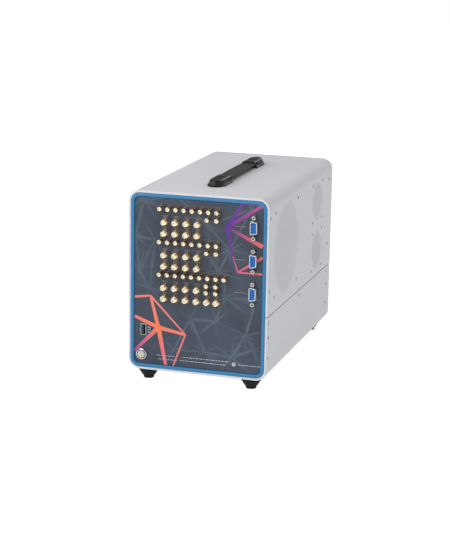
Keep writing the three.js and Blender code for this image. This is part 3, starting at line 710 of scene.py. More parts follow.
def build_print():
    """Coloured strokes: a warm star low on the left and a violet fan high on the right."""
    orange, salmon, coral = (0.66, 0.155, 0.068), (0.62, 0.16, 0.13), (0.62, 0.11, 0.10)
    pink, rose, magenta = (0.50, 0.085, 0.20), (0.58, 0.11, 0.2), (0.40, 0.06, 0.22)
    violet, plum = (0.082, 0.02, 0.215), (0.30, 0.05, 0.24)
    hub, knot = (-50, -57.5), (36.5, 75)
    top, right, foot = (-60.5, -18), (-15, -63.5), (-31, -106)  # the star's outline turns here
    turn, tail = (44, 40), (50.5, 20.5)  # the fan's lower line turns here
    print_strokes("star_arm", "star_ink", [
        (hub, (-84, -44.5), 5.4, 3.8, orange, salmon),
        (hub, top, 5.0, 3.2, orange, salmon),
        (hub, right, 5.4, 3.4, orange, salmon),
        (hub, (-40, -106), 6.2, 4.0, orange, rose),
        (hub, (-84, -93), 5.6, 3.4, orange, plum),
    ])
    outline = Form()
    rim = (((-84, -21.5), top, 3.0, 2.4), (top, right, 2.6, 2.0), (right, foot, 2.2, 2.2))
    for i, (a, b, width_a, width_b) in enumerate(rim):
        printed(outline, [stroke(*clipped(a, b), width_a, width_b)], INK_LEVEL + 0.008 + 0.003 * i)
    rim_ink = bright_ink("star_outline_ink", salmon, (0.55, 0.14, 0.13), (-60, -18), (-15, -70))
    outline.build("star_outline", [rim_ink], "panel_print")
    print_strokes("fan_stroke", "fan_ink", [
        (knot, (84, 107), 4.8, 3.4, violet, magenta),
        (knot, (56, 105.5), 5.4, 3.6, violet, (0.12, 0.03, 0.2)),
        (knot, (84, 53), 3.0, 5.4, violet, coral),
        (knot, turn, 5.0, 3.2, violet, (0.10, 0.035, 0.17)),
        ((55, 103.9), (80, 104.1), 1.5, 1.3, (0.10, 0.03, 0.16), (0.20, 0.05, 0.18)),
        (turn, tail, 2.2, 2.0, (0.2, 0.06, 0.22), pink),
        (tail, (84, 20.5), 1.8, 2.6, pink, coral),
        (tail, (84, 43), 2.2, 3.6, pink, coral),
    ])
    for name, dot, colour in (
        ("star_hub", circle(*hub, 4.0, 10), orange),
        ("fan_knot", circle(*knot, 3.2, 9), violet),
    ):
        form = Form()
        printed(form, [dot], INK_LEVEL - 0.03)
        form.build(name, [bright_ink(f"{name}_ink", colour)], "panel_print", smooth=35)


def build_legends():
    """Plain strokes where an instrument carries its legends. They spell nothing."""
    level = PANEL_FACE - 0.06
    brown_lines, pale_lines = [], []
    for row in MODULES:
        z = SMALL_Z - row * MODULE_PITCH
        small = [x for x, jack_z in small_places(row) if abs(jack_z - z) < 1]
        brown_lines.append(stroke((small[0] - 2, z + 5.3), (small[-1] + 4, z + 5.3), 0.35))
        brown_lines += [level_stroke(x, z + 3.9, 1.6, 0.7) for x in small]
        for x, jack_z in large_places(row):
            brown_lines += [level_stroke(x, jack_z + 7.2, 3.6, 0.8), level_stroke(x, jack_z + 5.8, 2.4, 0.8)]
        brown_lines += [level_stroke(x, z - 5.1, 2, 0.8) for x in PAIR_X]
        brown_lines.append(level_stroke(53, DSUB_Z - row * MODULE_PITCH, 7, 0.9))
    rng = random.Random(7)
    for z, x, end in ((-92.5, -18, 40), (-97, -22, 36), (-92.8, -52, -28), (-97.5, -50, -26), (-95, 53, 77)):
        while x < end:
            length = rng.uniform(2.2, 5.2)
            pale_lines.append(stroke((x, z), (x + length, z), 0.9))
            x += length + 1.1
    pale_lines.append(circle(47.5, -95, 2.6, 20))
    pale_lines += [level_stroke(usb.x + 7.4, usb.z + dz, 1.8, 1.1) for dz in (-3, 0, 3)]
    for name, lines, material in (("gold", brown_lines, legend_ink), ("pale", pale_lines, pale_ink)):
        form = Form()
        printed(form, lines, level)
        form.build(f"panel_{name}_strokes", [material], "panel_print")


# ---- connectors --------------------------------------------------------------------------
def small_jack():
    """Flange and rear sleeve darkened with painted shade, bright front sleeve, insulator and pin. Finishes:
    gold, white, gold with painted shade.
    """
    form = Form()
    tip, bore = JACK_TIP, JACK_TIP + 3
    # The flange and rear sleeve take the darkened gold: painted shade.
    form.lathe([
        (0, JACK_BACK), (2.6, JACK_BACK), (2.6, PANEL_FACE), (3.15, PANEL_FACE), (3.25, 0.8), (3.25, 0.1),
        (3.1, -0.1), (2.35, -0.1), (2.35, -0.9), (2.6, -1.1), (2.6, tip + 2.9), (2.35, tip + 2.6),
        (0, tip + 2.6),
    ], sides=20, finish=2)
    form.lathe([
        (0, tip + 2.6), (2.35, tip + 2.6), (2.35, tip + 1.9), (2.6, tip + 1.6), (2.6, tip + 0.3), (2.35, tip),
        (1.95, tip), (1.8, tip + 0.2), (1.8, tip + 2.4), (0, tip + 2.4),
    ], sides=20)
    form.lathe([(0, bore), (1.0, bore), (1.0, tip + 1.5), (0, tip + 1.5)], sides=14, finish=1)
    form.lathe([(0, bore), (0.42, bore), (0.42, tip + 0.9), (0.3, tip + 0.7), (0, tip + 0.7)], sides=10)
    return form


def large_jack():
    """Washer and hexagonal nut darkened with painted shade, bright threaded sleeve, insulator and socket
    contact.
    """
    form = Form()
    tip, bore = JACK_TIP, JACK_TIP + 3
    nut, nut_back, nut_front = 4.62, 0.6, -1.75
    # The washer and nut take the darkened gold: painted shade.
    form.lathe([
        (0, JACK_BACK), (3.3, JACK_BACK), (3.3, PANEL_FACE), (4.7, PANEL_FACE), (4.8, 0.85), (4.8, 0.65),
        (nut, nut_back), (0, nut_back),
    ], finish=2)
    form.lathe([(0, nut_back), (nut, nut_back), (nut, nut_front + 0.25), (4.3, nut_front), (0, nut_front)],
               sides=6, finish=2, turn=math.pi / 6)
    thread = []
    turns, pitch, first = 8, 0.72, -2.3
    for i in range(turns):
        y = first - i * pitch
        thread += [(3.17, y), (3.17, y - 0.16), (2.86, y - 0.36), (2.86, y - 0.5)]
    form.lathe([
        (0, -1.7), (2.75, -1.7), (2.75, -2.2), *thread, (3.1, tip + 0.25), (2.85, tip), (2.4, tip),
        (2.3, tip + 0.15), (2.3, tip + 1.9), (0, tip + 1.9),
    ], sides=22)
    form.lathe([(0, bore), (2.05, bore), (2.05, tip + 1.6), (0, tip + 1.6)], sides=18, finish=1)
    form.lathe([
        (0, bore), (0.64, bore), (0.64, tip + 0.75), (0.35, tip + 0.55), (0.33, tip + 1.4), (0, tip + 1.4),
    ], sides=12)
    return form


def build_jacks():
    kinds = (("small", small_jack(), small_places), ("large", large_jack(), large_places))
    for row in MODULES:
        for word, jack, places in kinds:
            node = f"{word}_jacks_{row + 1}"
            form = Form()
            for i, (x, z) in enumerate(places(row)):
                form.join(jack, standing(x, 0, z, 0.55 * i + row, "Y"))
            if word == "small":
                board = Room(node)
                outline = rounded_rectangle(board.size.x, board.size.z, 1, board.x, board.z, 2)
                form.loft([at_y(outline, board.high.y - 1.4), at_y(outline, board.high.y)])
            # The third finish is the gold darkened as painted shade.
            form.build(f"{word}_jack_group_{row + 1}", [gold, ptfe, painted_shade_gold], "jack_gold", node, smooth=28)


def dsub_shell(row, room):
    """Bright shell with dimples that hold a plug, its flange behind the panel, and dull jackscrews."""
    form = Form()
    z, front, back = DSUB_Z - row * MODULE_PITCH, room.low.y, room.high.y
    form.loft([
        at_y(dsub_outline(row, grow), y) for grow, y in (
            (0, back - 0.6), (0, front + 0.35), (-0.12, front + 0.08), (-DSUB_WALL / 2, front),
            (-DSUB_WALL + 0.08, front + 0.08), (-DSUB_WALL, front + 0.35), (-DSUB_WALL, back - 0.6),
        )
    ], closed=True)
    dimple = Form()
    dimple.lathe([(0, 0.3), (0.75, 0.3), (0.6, -0.1), (0.3, -0.25), (0, -0.28)], sides=12)
    for side in (-1, 1):
        for dz in (-4, 0, 4):
            form.join(dimple, standing(DSUB_X + side * 4.1, -2.2, z + dz, side * math.pi / 2))
    flange = rounded_rectangle(12.5, 30.8, 2, DSUB_X, z, 3)
    form.loft([at_y(flange, back - 1), at_y(flange, back)])
    for screw_x, screw_z in dsub_screws(row):
        form.lathe([
            (1.5, back), (1.5, PANEL_FACE), (2.75, PANEL_FACE), (2.75, front + 0.3), (2.45, front),
            (1.45, front), (1.25, front + 0.25), (1.25, front + 4), (0, front + 4), (0, back),
        ], screw_x, screw_z, 6, finish=1, turn=math.pi / 6)
    return form


def dsub_insert(row, room):
    """Blue block with fifteen sockets in three columns, the middle one half a pitch up."""
    form = Form()
    z, face = DSUB_Z - row * MODULE_PITCH, room.low.y + 1.4
    column_pitch, pitch, stagger, radius = 1.98, 2.29, 0.57, 0.75
    holes = []
    for column in (-1, 0, 1):
        middle = z + (-stagger if column else stagger)
        x = DSUB_X + column * column_pitch
        holes += [circle(x, middle + k * pitch, radius, 10) for k in range(-2, 3)]
    holed_plate(form, dsub_outline(row, -DSUB_WALL - 0.08), holes, face, face + 4, edge=0.2)
    # A disc of painted shade sits part way down each socket hole.
    for hole in holes:
        form.add(at_y(hole, face + 2.5), [tuple(range(len(hole)))], 1)
    rear = rounded_rectangle(10, 19, 1, DSUB_X, z, 2)
    form.loft([at_y(rear, room.high.y + GAP), at_y(rear, room.high.y + 8)])
    return form


def build_dsubs():
    for row in MODULES:
        number, room = row + 1, Room(f"dsub_shell_{row + 1}")
        dsub_shell(row, room).build(
            f"dsub_steel_{number}", [satin_steel, dull_nickel], "connector_steel", f"dsub_shell_{number}"
        )
        dsub_insert(row, room).build(
            f"dsub_blue_{number}", [blue_nylon, painted_cavity_shade], "connector_blue", f"dsub_insert_{number}"
        )


def build_usb():
    width, height, front, back = usb.size.x, usb.size.z, usb.low.y, usb.high.y

    def loop(inset, y):
        corner = max(0.25, 0.7 - inset)
        return at_y(rounded_rectangle(width - 2 * inset, height - 2 * inset, corner, usb.x, usb.z, 3), y)

    shell = Form()
    rim = (
        (0, back), (0, front - 0.1), (0.12, front - 0.25), (0.4, front - 0.2), (0.5, front), (0.5, back - 1),
    )
    shell.loft([loop(inset, y) for inset, y in rim], caps=(True, False))
    # A thin sheet of painted shade closes the back of the shell.
    shell.loft([loop(0.5, back - 1.2), loop(0.5, back - 1)], 1)
    flare = rounded_rectangle(width + 0.7, height + 0.7, 0.9, usb.x, usb.z, 3)
    mouth = rounded_rectangle(width - 0.2, height - 0.2, 0.6, usb.x, usb.z, 3)
    points, faces = triangulate(flare, [mouth])
    shell.add(at_y(points, PANEL_FACE - 0.2), faces)
    shell.loft([at_y(flare, PANEL_FACE - 0.2), at_y(flare, PANEL_FACE)], caps=(False, False))
    # Spring fingers bent into the mouth.
    thick = 0.12
    for side in (-1, 1):
        for dz in (-3, 3):
            x, z = usb.x + side * (width / 2 - 0.5), usb.z + dz
            ends = []
            for bend, y, half in ((0, front + 1, 0.9), (0.9, front + 5, 0.8)):
                near, far = x - side * bend, x - side * (bend + thick)
                ends.append(at_y([(near, z - half), (near, z + half), (far, z + half), (far, z - half)], y))
            shell.loft(ends)
    shell.build("usb_steel", [dull_nickel, painted_cavity_shade], "connector_steel", "usb_shell")

    room = Room("usb_tongue")
    tongue = Form()
    ends = ((0.5, 0.3, room.low.y), (0, 0.4, room.low.y + 0.4), (0, 0.4, room.high.y))
    tongue.loft([
        at_y(rounded_rectangle(room.size.x - less, room.size.z - less, corner, room.x, usb.z, 2), y)
        for less, corner, y in ends
    ])
    for dz in (-3.5, -1, 1, 3.5):
        strip = rounded_rectangle(0.24, 1.1, 0.1, room.high.x + 0.06, usb.z + dz, 1)
        tongue.loft([at_y(strip, room.low.y + 0.7), at_y(strip, room.high.y - 0.5)], 1)
    tongue.build("usb_navy_tongue", [navy_nylon, gold], "connector_blue", "usb_tongue")


def build_button():
    cap_room = Room("power_button")
    outer, radius = button.size.x / 2, cap_room.size.x / 2
    front, back, bore = button.low.y, button.high.y, radius + 0.85
    bezel = Form()
    bezel.lathe([
        (0, back), (5.4, back), (5.4, PANEL_FACE), (outer, PANEL_FACE), (outer, front + 0.8),
        (outer - 0.25, front + 0.25), (outer - 0.8, front), (radius + 1.25, front),
        (radius + 1.0, front + 0.25), (bore, front + 0.7),
    ], button.x, button.z, 48, caps=(True, False))
    # The bore behind the cap is lined with painted shade.
    bezel.lathe([(bore, front + 0.7), (bore, back - 3.2), (0, back - 3.2)], button.x, button.z, 48, 1,
                caps=(False, True))
    bezel.build("button_bezel", [nickel, painted_cavity_shade], "connector_steel", "button_housing", smooth=35)
    cap = Form()
    front, back = cap_room.low.y, cap_room.high.y
    dome = [(radius * math.sin(a), front + 0.9 * (1 - math.cos(a))) for a in (0.25, 0.5, 0.75, 1.0, 1.2)]
    edge = [(radius - 0.12, front + 0.8), (radius, front + 1.1), (radius, back)]
    cap.lathe([(0, front), *dome, *edge, (0, back)], button.x, button.z, 40)
    cap.build("button_cap_lens", [lens], "button_cream", "power_button", body="button_cap")


# ---- handle and feet ---------------------------------------------------------------------
def cap_outline(length, width, inset):
    """Plan of a handle cap: an elliptical nose at y 0 and a square end at y length."""
    w, nose, steps = width / 2 - inset, 15, 14
    turns = [math.pi * k / steps for k in range(1, steps)]
    curve = [(w * math.cos(a), nose - (nose - inset) * math.sin(a)) for a in turns]
    return [(w, length), (w, nose), *curve, (-w, nose), (-w, length)]


def handle_cap(room, strap):
    """A cap with its nose at y 0, standing on z 0. The strap slides in a slot in its square end."""
    form = Form()
    top = HEIGHT / 2
    length, width, height = room.size.y, room.size.x, room.high.z - top
    base, base_inset, crown_steps = 3.2, 1.7, 7
    levels = [(0.0, 0.0), (1.9, 0.0), (2.3, 0.3), (2.5, 0.8), (2.6, 1.5), (base, base_inset)]
    for k in range(1, crown_steps + 1):
        a = math.pi / 2 * k / crown_steps
        levels.append((base + (height - base) * math.sin(a), base_inset + 3.6 * (1 - math.cos(a))))
    loops = [[(x, y, z) for x, y in cap_outline(length, width, inset)] for z, inset in levels]
    open_side = len(loops[0]) - 1
    form.loft(loops, skip={(row, open_side) for row in range(len(loops) - 1)})
    right = [(loop[0][0], loop[0][2]) for loop in loops]
    arch = right + [(-x, z) for x, z in reversed(right)]
    w = strap.size.x / 2 + 0.5
    low, high = strap.low.z - top - 0.5, strap.high.z - top + 0.5
    slot = [(-w, low), (w, low), (w, high), (-w, high)]
    points, faces = triangulate(arch, [slot])
    form.add(at_y(points, length), faces)
    # The slot is lined with painted shade.
    form.loft([at_y(slot, length), at_y(slot, length - 10)], 1, caps=(False, True))
    # Raised ribs across the crown for grip.
    for y in (19, 25, 31):
        rib = [(x, height - 0.15 + z) for x, z in ((-5.2, -0.2), (5.2, -0.2), (4.7, 0.45), (-4.7, 0.45))]
        form.loft([at_y(rib, y), at_y(rib, y + 1.6)])
    return form


def handle_band(strap):
    """The strap, slightly bowed, with a bead along each edge and low ribs between them."""
    form = Form()
    w, low, high, steps, ribs = strap.size.x / 2, strap.low.z, strap.high.z, 60, 43
    start, reach = strap.low.y + 1, strap.size.y - 2

    def bow(share):
        return 0.9 * math.sin(math.pi * share) ** 2

    half = [
        (w - 0.6, low), (w, low + 0.8), (w, high - 0.9), (w - 0.5, high - 0.2), (w - 1.5, high),
        (w - 2.4, high - 0.35),
    ]
    section = half + [(-x, z) for x, z in reversed(half)]
    loops = []
    for k in range(steps + 1):
        share = k / steps
        loops.append([(strap.x + x, start + reach * share, z + bow(share)) for x, z in section])
    form.loft(loops, 1)
    foot, crown = w - 2.6, w - 2.9
    for k in range(1, ribs + 1):
        share = k / (ribs + 1)
        y, z = start + reach * share, high - 0.38 + bow(share)
        outline = ((-foot, z), (foot, z), (crown, z + 0.28), (-crown, z + 0.28))
        rib = [(strap.x + x, height) for x, height in outline]
        form.loft([at_y(rib, y - 0.9), at_y(rib, y + 0.9)])
    return form


def build_handle():
    strap = Room("handle_strap")
    for end, turn in (("front", 0), ("rear", math.pi)):
        node = f"handle_cap_{end}"
        room = Room(node)
        nose_y = room.low.y if end == "front" else room.high.y
        placed = handle_cap(room, strap).moved(standing(strap.x, nose_y, HEIGHT / 2 + 0.05, turn))
        placed.build(f"handle_end_{end}", [black_plastic, painted_cavity_shade], "plastic_black", node, smooth=32)
    handle_band(strap).build("handle_band", [strap_skin, black_plastic], "rubber_dark", "handle_strap")


def build_feet():
    for end in ("front", "rear"):
        for side in ("left", "right"):
            node = f"foot_{end}_{side}"
            room = Room(node)
            radius, tall = room.size.x / 2, room.size.z
            foot = Form()
            foot.lathe([
                (0, 0), (radius - 0.4, 0), (radius, -0.4), (radius, -2.4), (radius - 0.4, -3.1),
                (radius - 1.1, -3.5), (8.6, -8.6), (8.2, -9.0), (7.0, -9.3), (6.7, -9.6), (6.5, 0.4 - tall),
                (6.1, -tall), (4.2, -tall), (3.8, 0.3 - tall), (3.7, 4.0 - tall), (0, 4.0 - tall),
            ], sides=40)
            screw = screw_head(3.0).moved(standing(0, 3.9 - tall, 0))
            foot.add(screw.points, screw.faces, 1)
            placed = foot.moved(standing(room.x, room.y, room.high.z, math.pi / 2, "X"))
            placed.build(f"rubber_{node}", [rubber, zinc], "rubber_dark", node, smooth=38)


# ---- fans --------------------------------------------------------------------------------
# A fan is made with its intake face at y 0 and its outlet at y thick, and then stood to face +X.
def fan_housing(word, size, thick, duct, hub):
    form = Form()
    flange = size * 0.035
    square = rounded_rectangle(size - 0.4, size - 0.4, size * 0.05, steps=3)
    span = FAN_SCREW[word]
    bores = [circle(a * span, b * span, size * 0.018, 10) for a in (-1, 1) for b in (-1, 1)]
    mouth, body = circle(0, 0, duct, 56), circle(0, 0, duct + 2, 56)
    for y0, y1 in ((0.1, flange), (thick - flange, thick - 0.1)):
        holed_plate(form, square, [mouth, *bores], y0, y1, edge=0.3)
    for wall in (body, mouth):
        form.loft([at_y(wall, flange), at_y(wall, thick - flange)], caps=(False, False))
    form.lathe([
        (0, thick - 3), (hub - 0.5, thick - 3), (hub, thick - 2.5), (hub, thick - 0.6),
        (hub - 0.5, thick - 0.1), (0, thick - 0.1),
    ], sides=36)
    arm = Form()
    section = ((-1.8, thick - 0.2), (1.8, thick - 0.2), (0.9, thick - 2.6), (-0.9, thick - 2.6))
    arm.loft([[(x, y, r) for x, y in section] for r in (hub - 1, duct + 1)])
    for k in range(4):
        form.join(arm, Matrix.Rotation(0.5 + k * math.pi / 2, 4, "Y"))
    return form


def fan_blade(thick, duct, hub):
    """A cambered blade that leans back and flattens from the hub outwards."""
    stations, half_count, thickness = 5, 6, 1.1
    root, tip, chord = hub - 0.6, duct - 1.6, thick * 0.42
    rows = []
    for i in range(stations + 1):
        share = i / stations
        r, pitch = root + (tip - root) * share, 0.95 - 0.3 * share
        row = []
        for j in range(2 * half_count + 1):
            front = j <= half_count
            u = max(-1, j / 3 - 1 if front else 1 - (j - half_count) / 3)
            along, lift = u * chord, 1.6 * (1 - u * u) + (thickness / 2 if front else -thickness / 2)
            x = along * math.cos(pitch) + lift * math.sin(pitch)
            y = thick / 2 + 0.2 + along * math.sin(pitch) - lift * math.cos(pitch)
            angle = x / r + 0.35 * share
            row.append((r * math.sin(angle), max(2.6, min(thick - 4.2, y)), r * math.cos(angle)))
        rows.append(row)
    form = Form()
    form.loft(rows)
    return form


def build_fan(word, blades=7):
    fan = fans[word]
    size, thick = fan.size.y, fan.size.x
    duct, hub = size * 0.48, size * 0.17
    stand = standing(fan.high.x, fan.y, fan.z, math.pi / 2)
    housing = fan_housing(word, size, thick, duct, hub).moved(stand)
    housing.build(f"{word}_fan_housing", [black_plastic], "plastic_black", f"{word}_fan_frame")
    rotor = Form()
    rotor.lathe([
        (0, 2.2), (hub * 0.8, 2.2), (hub - 0.6, 2.4), (hub, 3.2), (hub, thick - 3.8), (0, thick - 3.8),
    ], sides=36)
    blade = fan_blade(thick, duct, hub)
    for k in range(blades):
        rotor.join(blade, Matrix.Rotation(k * 2 * math.pi / blades, 4, "Y"))
    rotor.moved(stand).build(f"{word}_fan_blades", [black_plastic], "plastic_black", f"{word}_fan_rotor",
                             body=f"{word}_rotor", smooth=45)


# ---- back of the case --------------------------------------------------------------------
back_panel, inlet, switch = Room("rear_panel"), Room("power_inlet"), Room("switch_bezel")
port, references, earth = Room("network_port"), Room("reference_jacks"), Room("earth_post")
REAR_FACE = back_panel.high.y
reference_x = (references.low.x + 8, references.high.x - 8)


def on_back(x, z, y=0.0):
    """Stands a form that faces -Y on the rear panel, facing back."""
    return standing(x, REAR_FACE + y, z, math.pi)


def build_rear_panel():
    # The plate is made facing -Y, so x is mirrored until it is turned.
    holes = [
        rounded_rectangle(27.6, 20.6, 1.5, -inlet.x, inlet.z, 2),
        rounded_rectangle(13.6, 19.6, 1, -switch.x, switch.z, 2),
        rounded_rectangle(port.size.x + 0.6, port.size.z + 0.6, 0.5, -port.x, port.z, 2),
        *(circle(-x, port.z, 5.2, 24) for x in reference_x),
        circle(-earth.x, earth.z, 2.3, 16),
    ]
    for i in range(SLOT_COUNT):
        x = (i - (SLOT_COUNT - 1) / 2) * SLOT_PITCH
        holes.append(rounded_rectangle(SLOT_WIDTH, SLOT_TOP, SLOT_WIDTH / 2 - 0.05, x, SLOT_TOP / 2, 4))
    plate = Form()
    corner = 8.7
    outline = rounded_rectangle(2 * back_panel.high.x, 2 * back_panel.high.z, corner)
    holed_plate(plate, outline, holes, 0, back_panel.size.y)
    plate.moved(on_back(0, 0)).build("rear_panel_plate", [paint], "cover_paint", "rear_panel", smooth=35)
    screws = Form()
    for x in (-76, 76):
        for z in (-98, 0, 98):
            screws.join(screw_head(2.6), on_back(x, z, 0.05))
    screws.build("rear_panel_screws", [dull_screw, painted_cavity_shade], "plastic_black", smooth=35)
    marks = Form()
    for x, z, reach in (
        (inlet.x, inlet.z + 17, 9), (switch.x, switch.z + 14.5, 5), (port.x, port.z + 11.5, 7),
        (earth.x, earth.z - 8, 3), *((x, port.z + 10, 4) for x in reference_x),
    ):
        bar = level_stroke(x, z, reach, 1.1)
        marks.loft([at_y(bar, REAR_FACE - 0.05), at_y(bar, REAR_FACE + 0.03)])
    marks.build("rear_panel_strokes", [grey_ink], "panel_print")


def build_inlet():
    form = Form()
    rim = rounded_rectangle(33, 26, 2.5, steps=3)
    socket = round_polygon([(-12, -8), (12, -8), (12, 4), (8, 8), (-8, 8), (-12, 4)], 1.2, 2)
    holed_plate(form, rim, [socket], -2.4, -GAP, edge=0.5)
    form.loft([at_y(socket, -GAP), at_y(socket, 16)], caps=(False, True))
    for x, z in ((7, 1), (0, -3), (-7, 1)):
        tip, blade = rounded_rectangle(1.2, 3.2, 0.3, x, z, 2), rounded_rectangle(2, 4, 0.4, x, z, 2)
        form.loft([at_y(tip, 1.0), at_y(blade, 1.6), at_y(blade, 16)], 1)
    placed = form.moved(on_back(inlet.x, inlet.z))
    placed.build("mains_inlet", [black_plastic, nickel], "plastic_black", "power_inlet", smooth=38)


def build_switch():
    bezel = Form()
    well = rounded_rectangle(10, 16, 0.6, steps=2)
    holed_plate(bezel, rounded_rectangle(15.8, 21.8, 1.6, steps=3), [well], -2.4, -GAP, edge=0.4)
    bezel.loft([at_y(well, -GAP), at_y(well, 8)], caps=(False, True))
    stand = on_back(switch.x, switch.z)
    bezel.moved(stand).build("rocker_bezel", [black_plastic], "plastic_black", "switch_bezel", smooth=38)
    rocker = Form()
    arch = [
        (-7.2, -3), (-3.6, -2.0), (0, -1.55), (3.6, -2.0), (7.2, -3), (7.3, -0.4), (2, 4.4), (-2, 4.4),
        (-7.3, -0.4),
    ]
    rocker.loft([[(x, y, z) for z, y in arch] for x in (-4.6, -4.3, 4.3, 4.6)])
    rocker.moved(stand @ Matrix.Rotation(math.radians(8), 4, "X")).build(
        "rocker_cap", [black_plastic], "plastic_black", "switch_rocker", body="rocker", smooth=30, bevel=0.3
    )


def build_network_port():
    form = Form()
    case = rounded_rectangle(port.size.x, port.size.z, 0.5, steps=2)
    notch = [(-6, -4.4), (-2, -4.4), (-2, -5.6), (2, -5.6), (2, -4.4), (6, -4.4), (6, 4.4), (-6, 4.4)]
    mouth = round_polygon(notch, 0.25, 1)
    holed_plate(form, case, [mouth], -1, 1, edge=0.2)
    form.loft([at_y(case, 1), at_y(case, 17)], caps=(False, True))
    # The mouth is lined with painted shade.
    form.loft([at_y(mouth, 1), at_y(mouth, 13)], 1, caps=(False, True))
    contacts, pitch, first = 8, 1.02, -3.6
    for k in range(contacts):
        wire = rounded_rectangle(0.45, 0.4, 0.1, first + k * pitch, 3.8, 1)
        form.loft([at_y(wire, 1.5), at_y(wire, 12)], 2)
    placed = form.moved(on_back(port.x, port.z))
    placed.build("network_jack", [nickel, painted_cavity_shade, gold], "connector_steel", "network_port", smooth=38)


def build_reference_jacks():
    """Two bayonet jacks. Their coupling lugs stand out left and right."""
    tip = REAR_FACE - references.high.y
    jack, lug = Form(), Form()
    jack.lathe([
        (0, 6), (4.7, 6), (4.7, 0), (6.2, 0), (6.4, -0.3), (6.4, -2.2), (6.2, -2.5), (4.75, -2.5),
        (4.75, tip + 1.2), (4.9, tip + 1.0), (4.9, tip + 0.2), (4.7, tip), (4.1, tip), (4.0, tip + 0.2),
        (4.0, -3), (0, -3),
    ], sides=32)
    jack.lathe([(0, -3), (2.4, -3), (2.4, tip + 2), (0, tip + 2)], sides=20, finish=1)
    jack.lathe([(0, tip + 3), (0.7, tip + 3), (0.7, tip + 1), (0, tip + 1)], sides=12, finish=2)
    lug.lathe([(0, 0), (0.95, 0), (0.95, -1.3), (0.7, -1.5), (0, -1.5)], sides=14)
    for side in (-1, 1):
        jack.join(lug, standing(side * 4.4, tip + 3.5, 0, side * math.pi / 2))
    pair = Form()
    for x in reference_x:
        pair.join(jack, on_back(x, port.z))
    pair.build("reference_jack_pair", [nickel, ptfe, gold], "connector_steel", "reference_jacks", smooth=35)


def build_earth_post():
    form = Form()
    teeth, valley, crest = 18, 3.9, 4.2
    rim = [((crest if k % 2 else valley), k * math.pi / teeth) for k in range(2 * teeth)]
    form.loft([[(r * math.sin(a), y, r * math.cos(a)) for r, a in rim] for y in (-9, -4.2)])
    form.lathe([
        (0, 7), (2, 7), (2, 0), (3.9, 0), (3.9, -2.8), (2, -2.8), (2, -10.2), (1.7, -10.5), (0, -10.5),
    ])
    placed = form.moved(on_back(earth.x, earth.z))
    placed.build("earth_terminal", [nickel], "connector_steel", "earth_post", smooth=38)


# ---- what shows through the openings -----------------------------------------------------
def dress_inside():
    """The CAD pieces that keep their own shape get their finishes."""
    finishes = {
        paint: ["front_frame"],
        zinc: ["side_rail_left", "side_rail_right", "chassis_shelf"],
        milled: ["rf_module_1", "rf_module_2", "rf_module_3", "power_supply"],
        solder_mask: ["backplane", "controller_board"],
    }
    for material, nodes in finishes.items():
        for node in nodes:
            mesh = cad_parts[node].data
            mesh.materials.clear()
            mesh.materials.append(material)


# ---- floor, light and camera -------------------------------------------------------------
def build_floor():
    mesh = bpy.data.meshes.new("floor")
    half = 40.0
    corners = [(-half, -half, 0), (half, -half, 0), (half, half, 0), (-half, half, 0)]
    mesh.from_pydata(corners, [], [(0, 1, 2, 3)])
    floor = bpy.data.objects.new("floor", mesh)
    bpy.context.scene.collection.objects.link(floor)
    pale = surface("pale_floor", (0.5, 0.5, 0.5), 0.8, grain=20, bump=0.0, shade=0.01, shine=0.2)
    shader = pale.node_tree.nodes["Principled BSDF"]
    shader.inputs["Emission Color"].default_value = (1, 1, 1, 1)
    shader.inputs["Emission Strength"].default_value = 0.74
    mesh.materials.append(pale)


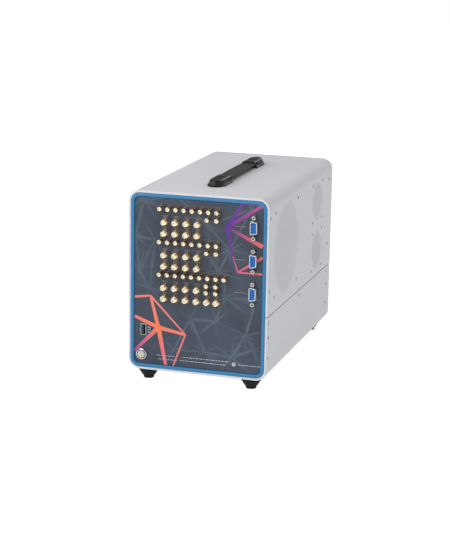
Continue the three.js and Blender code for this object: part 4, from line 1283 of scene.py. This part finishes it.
def build_world():
    """A room that grows brighter upwards. Glossy rays see it darker, and the camera sees it white."""
    world = bpy.data.worlds.new("studio")
    world.use_nodes = True
    tree = world.node_tree
    background = tree.nodes["Background"]
    up = tree.nodes.new("ShaderNodeSeparateXYZ")
    tree.links.new(tree.nodes.new("ShaderNodeTexCoord").outputs["Generated"], up.inputs[0])
    ramp = tree.nodes.new("ShaderNodeMapRange")
    for name, value in (("From Min", -0.1), ("To Min", 0.36), ("To Max", 0.62)):
        ramp.inputs[name].default_value = value
    tree.links.new(up.outputs["Z"], ramp.inputs["Value"])
    seen = tree.nodes.new("ShaderNodeLightPath")
    strength = ramp.outputs["Result"]
    for ray, value in (("Is Glossy Ray", 0.3), ("Is Camera Ray", 1.0)):
        choice = tree.nodes.new("ShaderNodeMix")
        tree.links.new(seen.outputs[ray], choice.inputs[0])
        tree.links.new(strength, choice.inputs[2])
        choice.inputs[3].default_value = value
        strength = choice.outputs[0]
    tree.links.new(strength, background.inputs["Strength"])
    background.inputs["Color"].default_value = (1, 1, 1, 1)
    bpy.context.scene.world = world
    bpy.context.scene.view_settings.view_transform = "Standard"


def build_lights():
    """Square area lights round the case: name, place in metres and power in watts."""
    target, size = Vector((0, 0, 0.12)), 0.9
    for name, spot, power in (
        ("key", (-0.7, -1.9, 1.1), 24),
        ("fill", (1.8, -0.5, 0.8), 3),
        ("left", (-1.8, -0.4, 1.0), 15),
        ("top", (0.2, 0.2, 2.3), 6),
        ("back", (0.4, 1.9, 1.2), 8),
    ):
        data = bpy.data.lights.new(name, "AREA")
        data.size = size
        data.energy = power
        light = bpy.data.objects.new(name, data)
        bpy.context.scene.collection.objects.link(light)
        light.location = spot
        light.rotation_euler = (target - Vector(spot)).to_track_quat("-Z", "Y").to_euler()


def build_camera():
    """The camera looks from the right of the front and from above, a little rolled."""
    azimuth, elevation, roll = math.radians(16.921), math.radians(13.439), math.radians(0.953)
    data = bpy.data.cameras.new("camera")
    data.sensor_width = 36
    data.lens = 106.93
    camera = bpy.data.objects.new("camera", data)
    bpy.context.scene.collection.objects.link(camera)
    level = math.cos(elevation)
    back = Vector((math.sin(azimuth) * level, -math.cos(azimuth) * level, math.sin(elevation)))
    right = (-back).cross(Vector((0, 0, 1))).normalized()
    up = right.cross(-back)
    turned_right = right * math.cos(roll) + up * math.sin(roll)
    turned_up = up * math.cos(roll) - right * math.sin(roll)
    turn = Matrix((turned_right, turned_up, back)).transposed().to_4x4()
    spot = place(592.06, -1831.58, 473.78)
    camera.matrix_world = Matrix.Translation(spot) @ turn
    bpy.context.scene.camera = camera


build_camera()
build_floor()
build_world()
build_lights()
build_covers()
build_frames()
build_panel()
build_print()
build_legends()
build_jacks()
build_dsubs()
build_usb()
build_button()
build_handle()
build_feet()
for fan_word in fans:
    build_fan(fan_word)
build_rear_panel()
build_inlet()
build_switch()
build_network_port()
build_reference_jacks()
build_earth_post()
dress_inside()
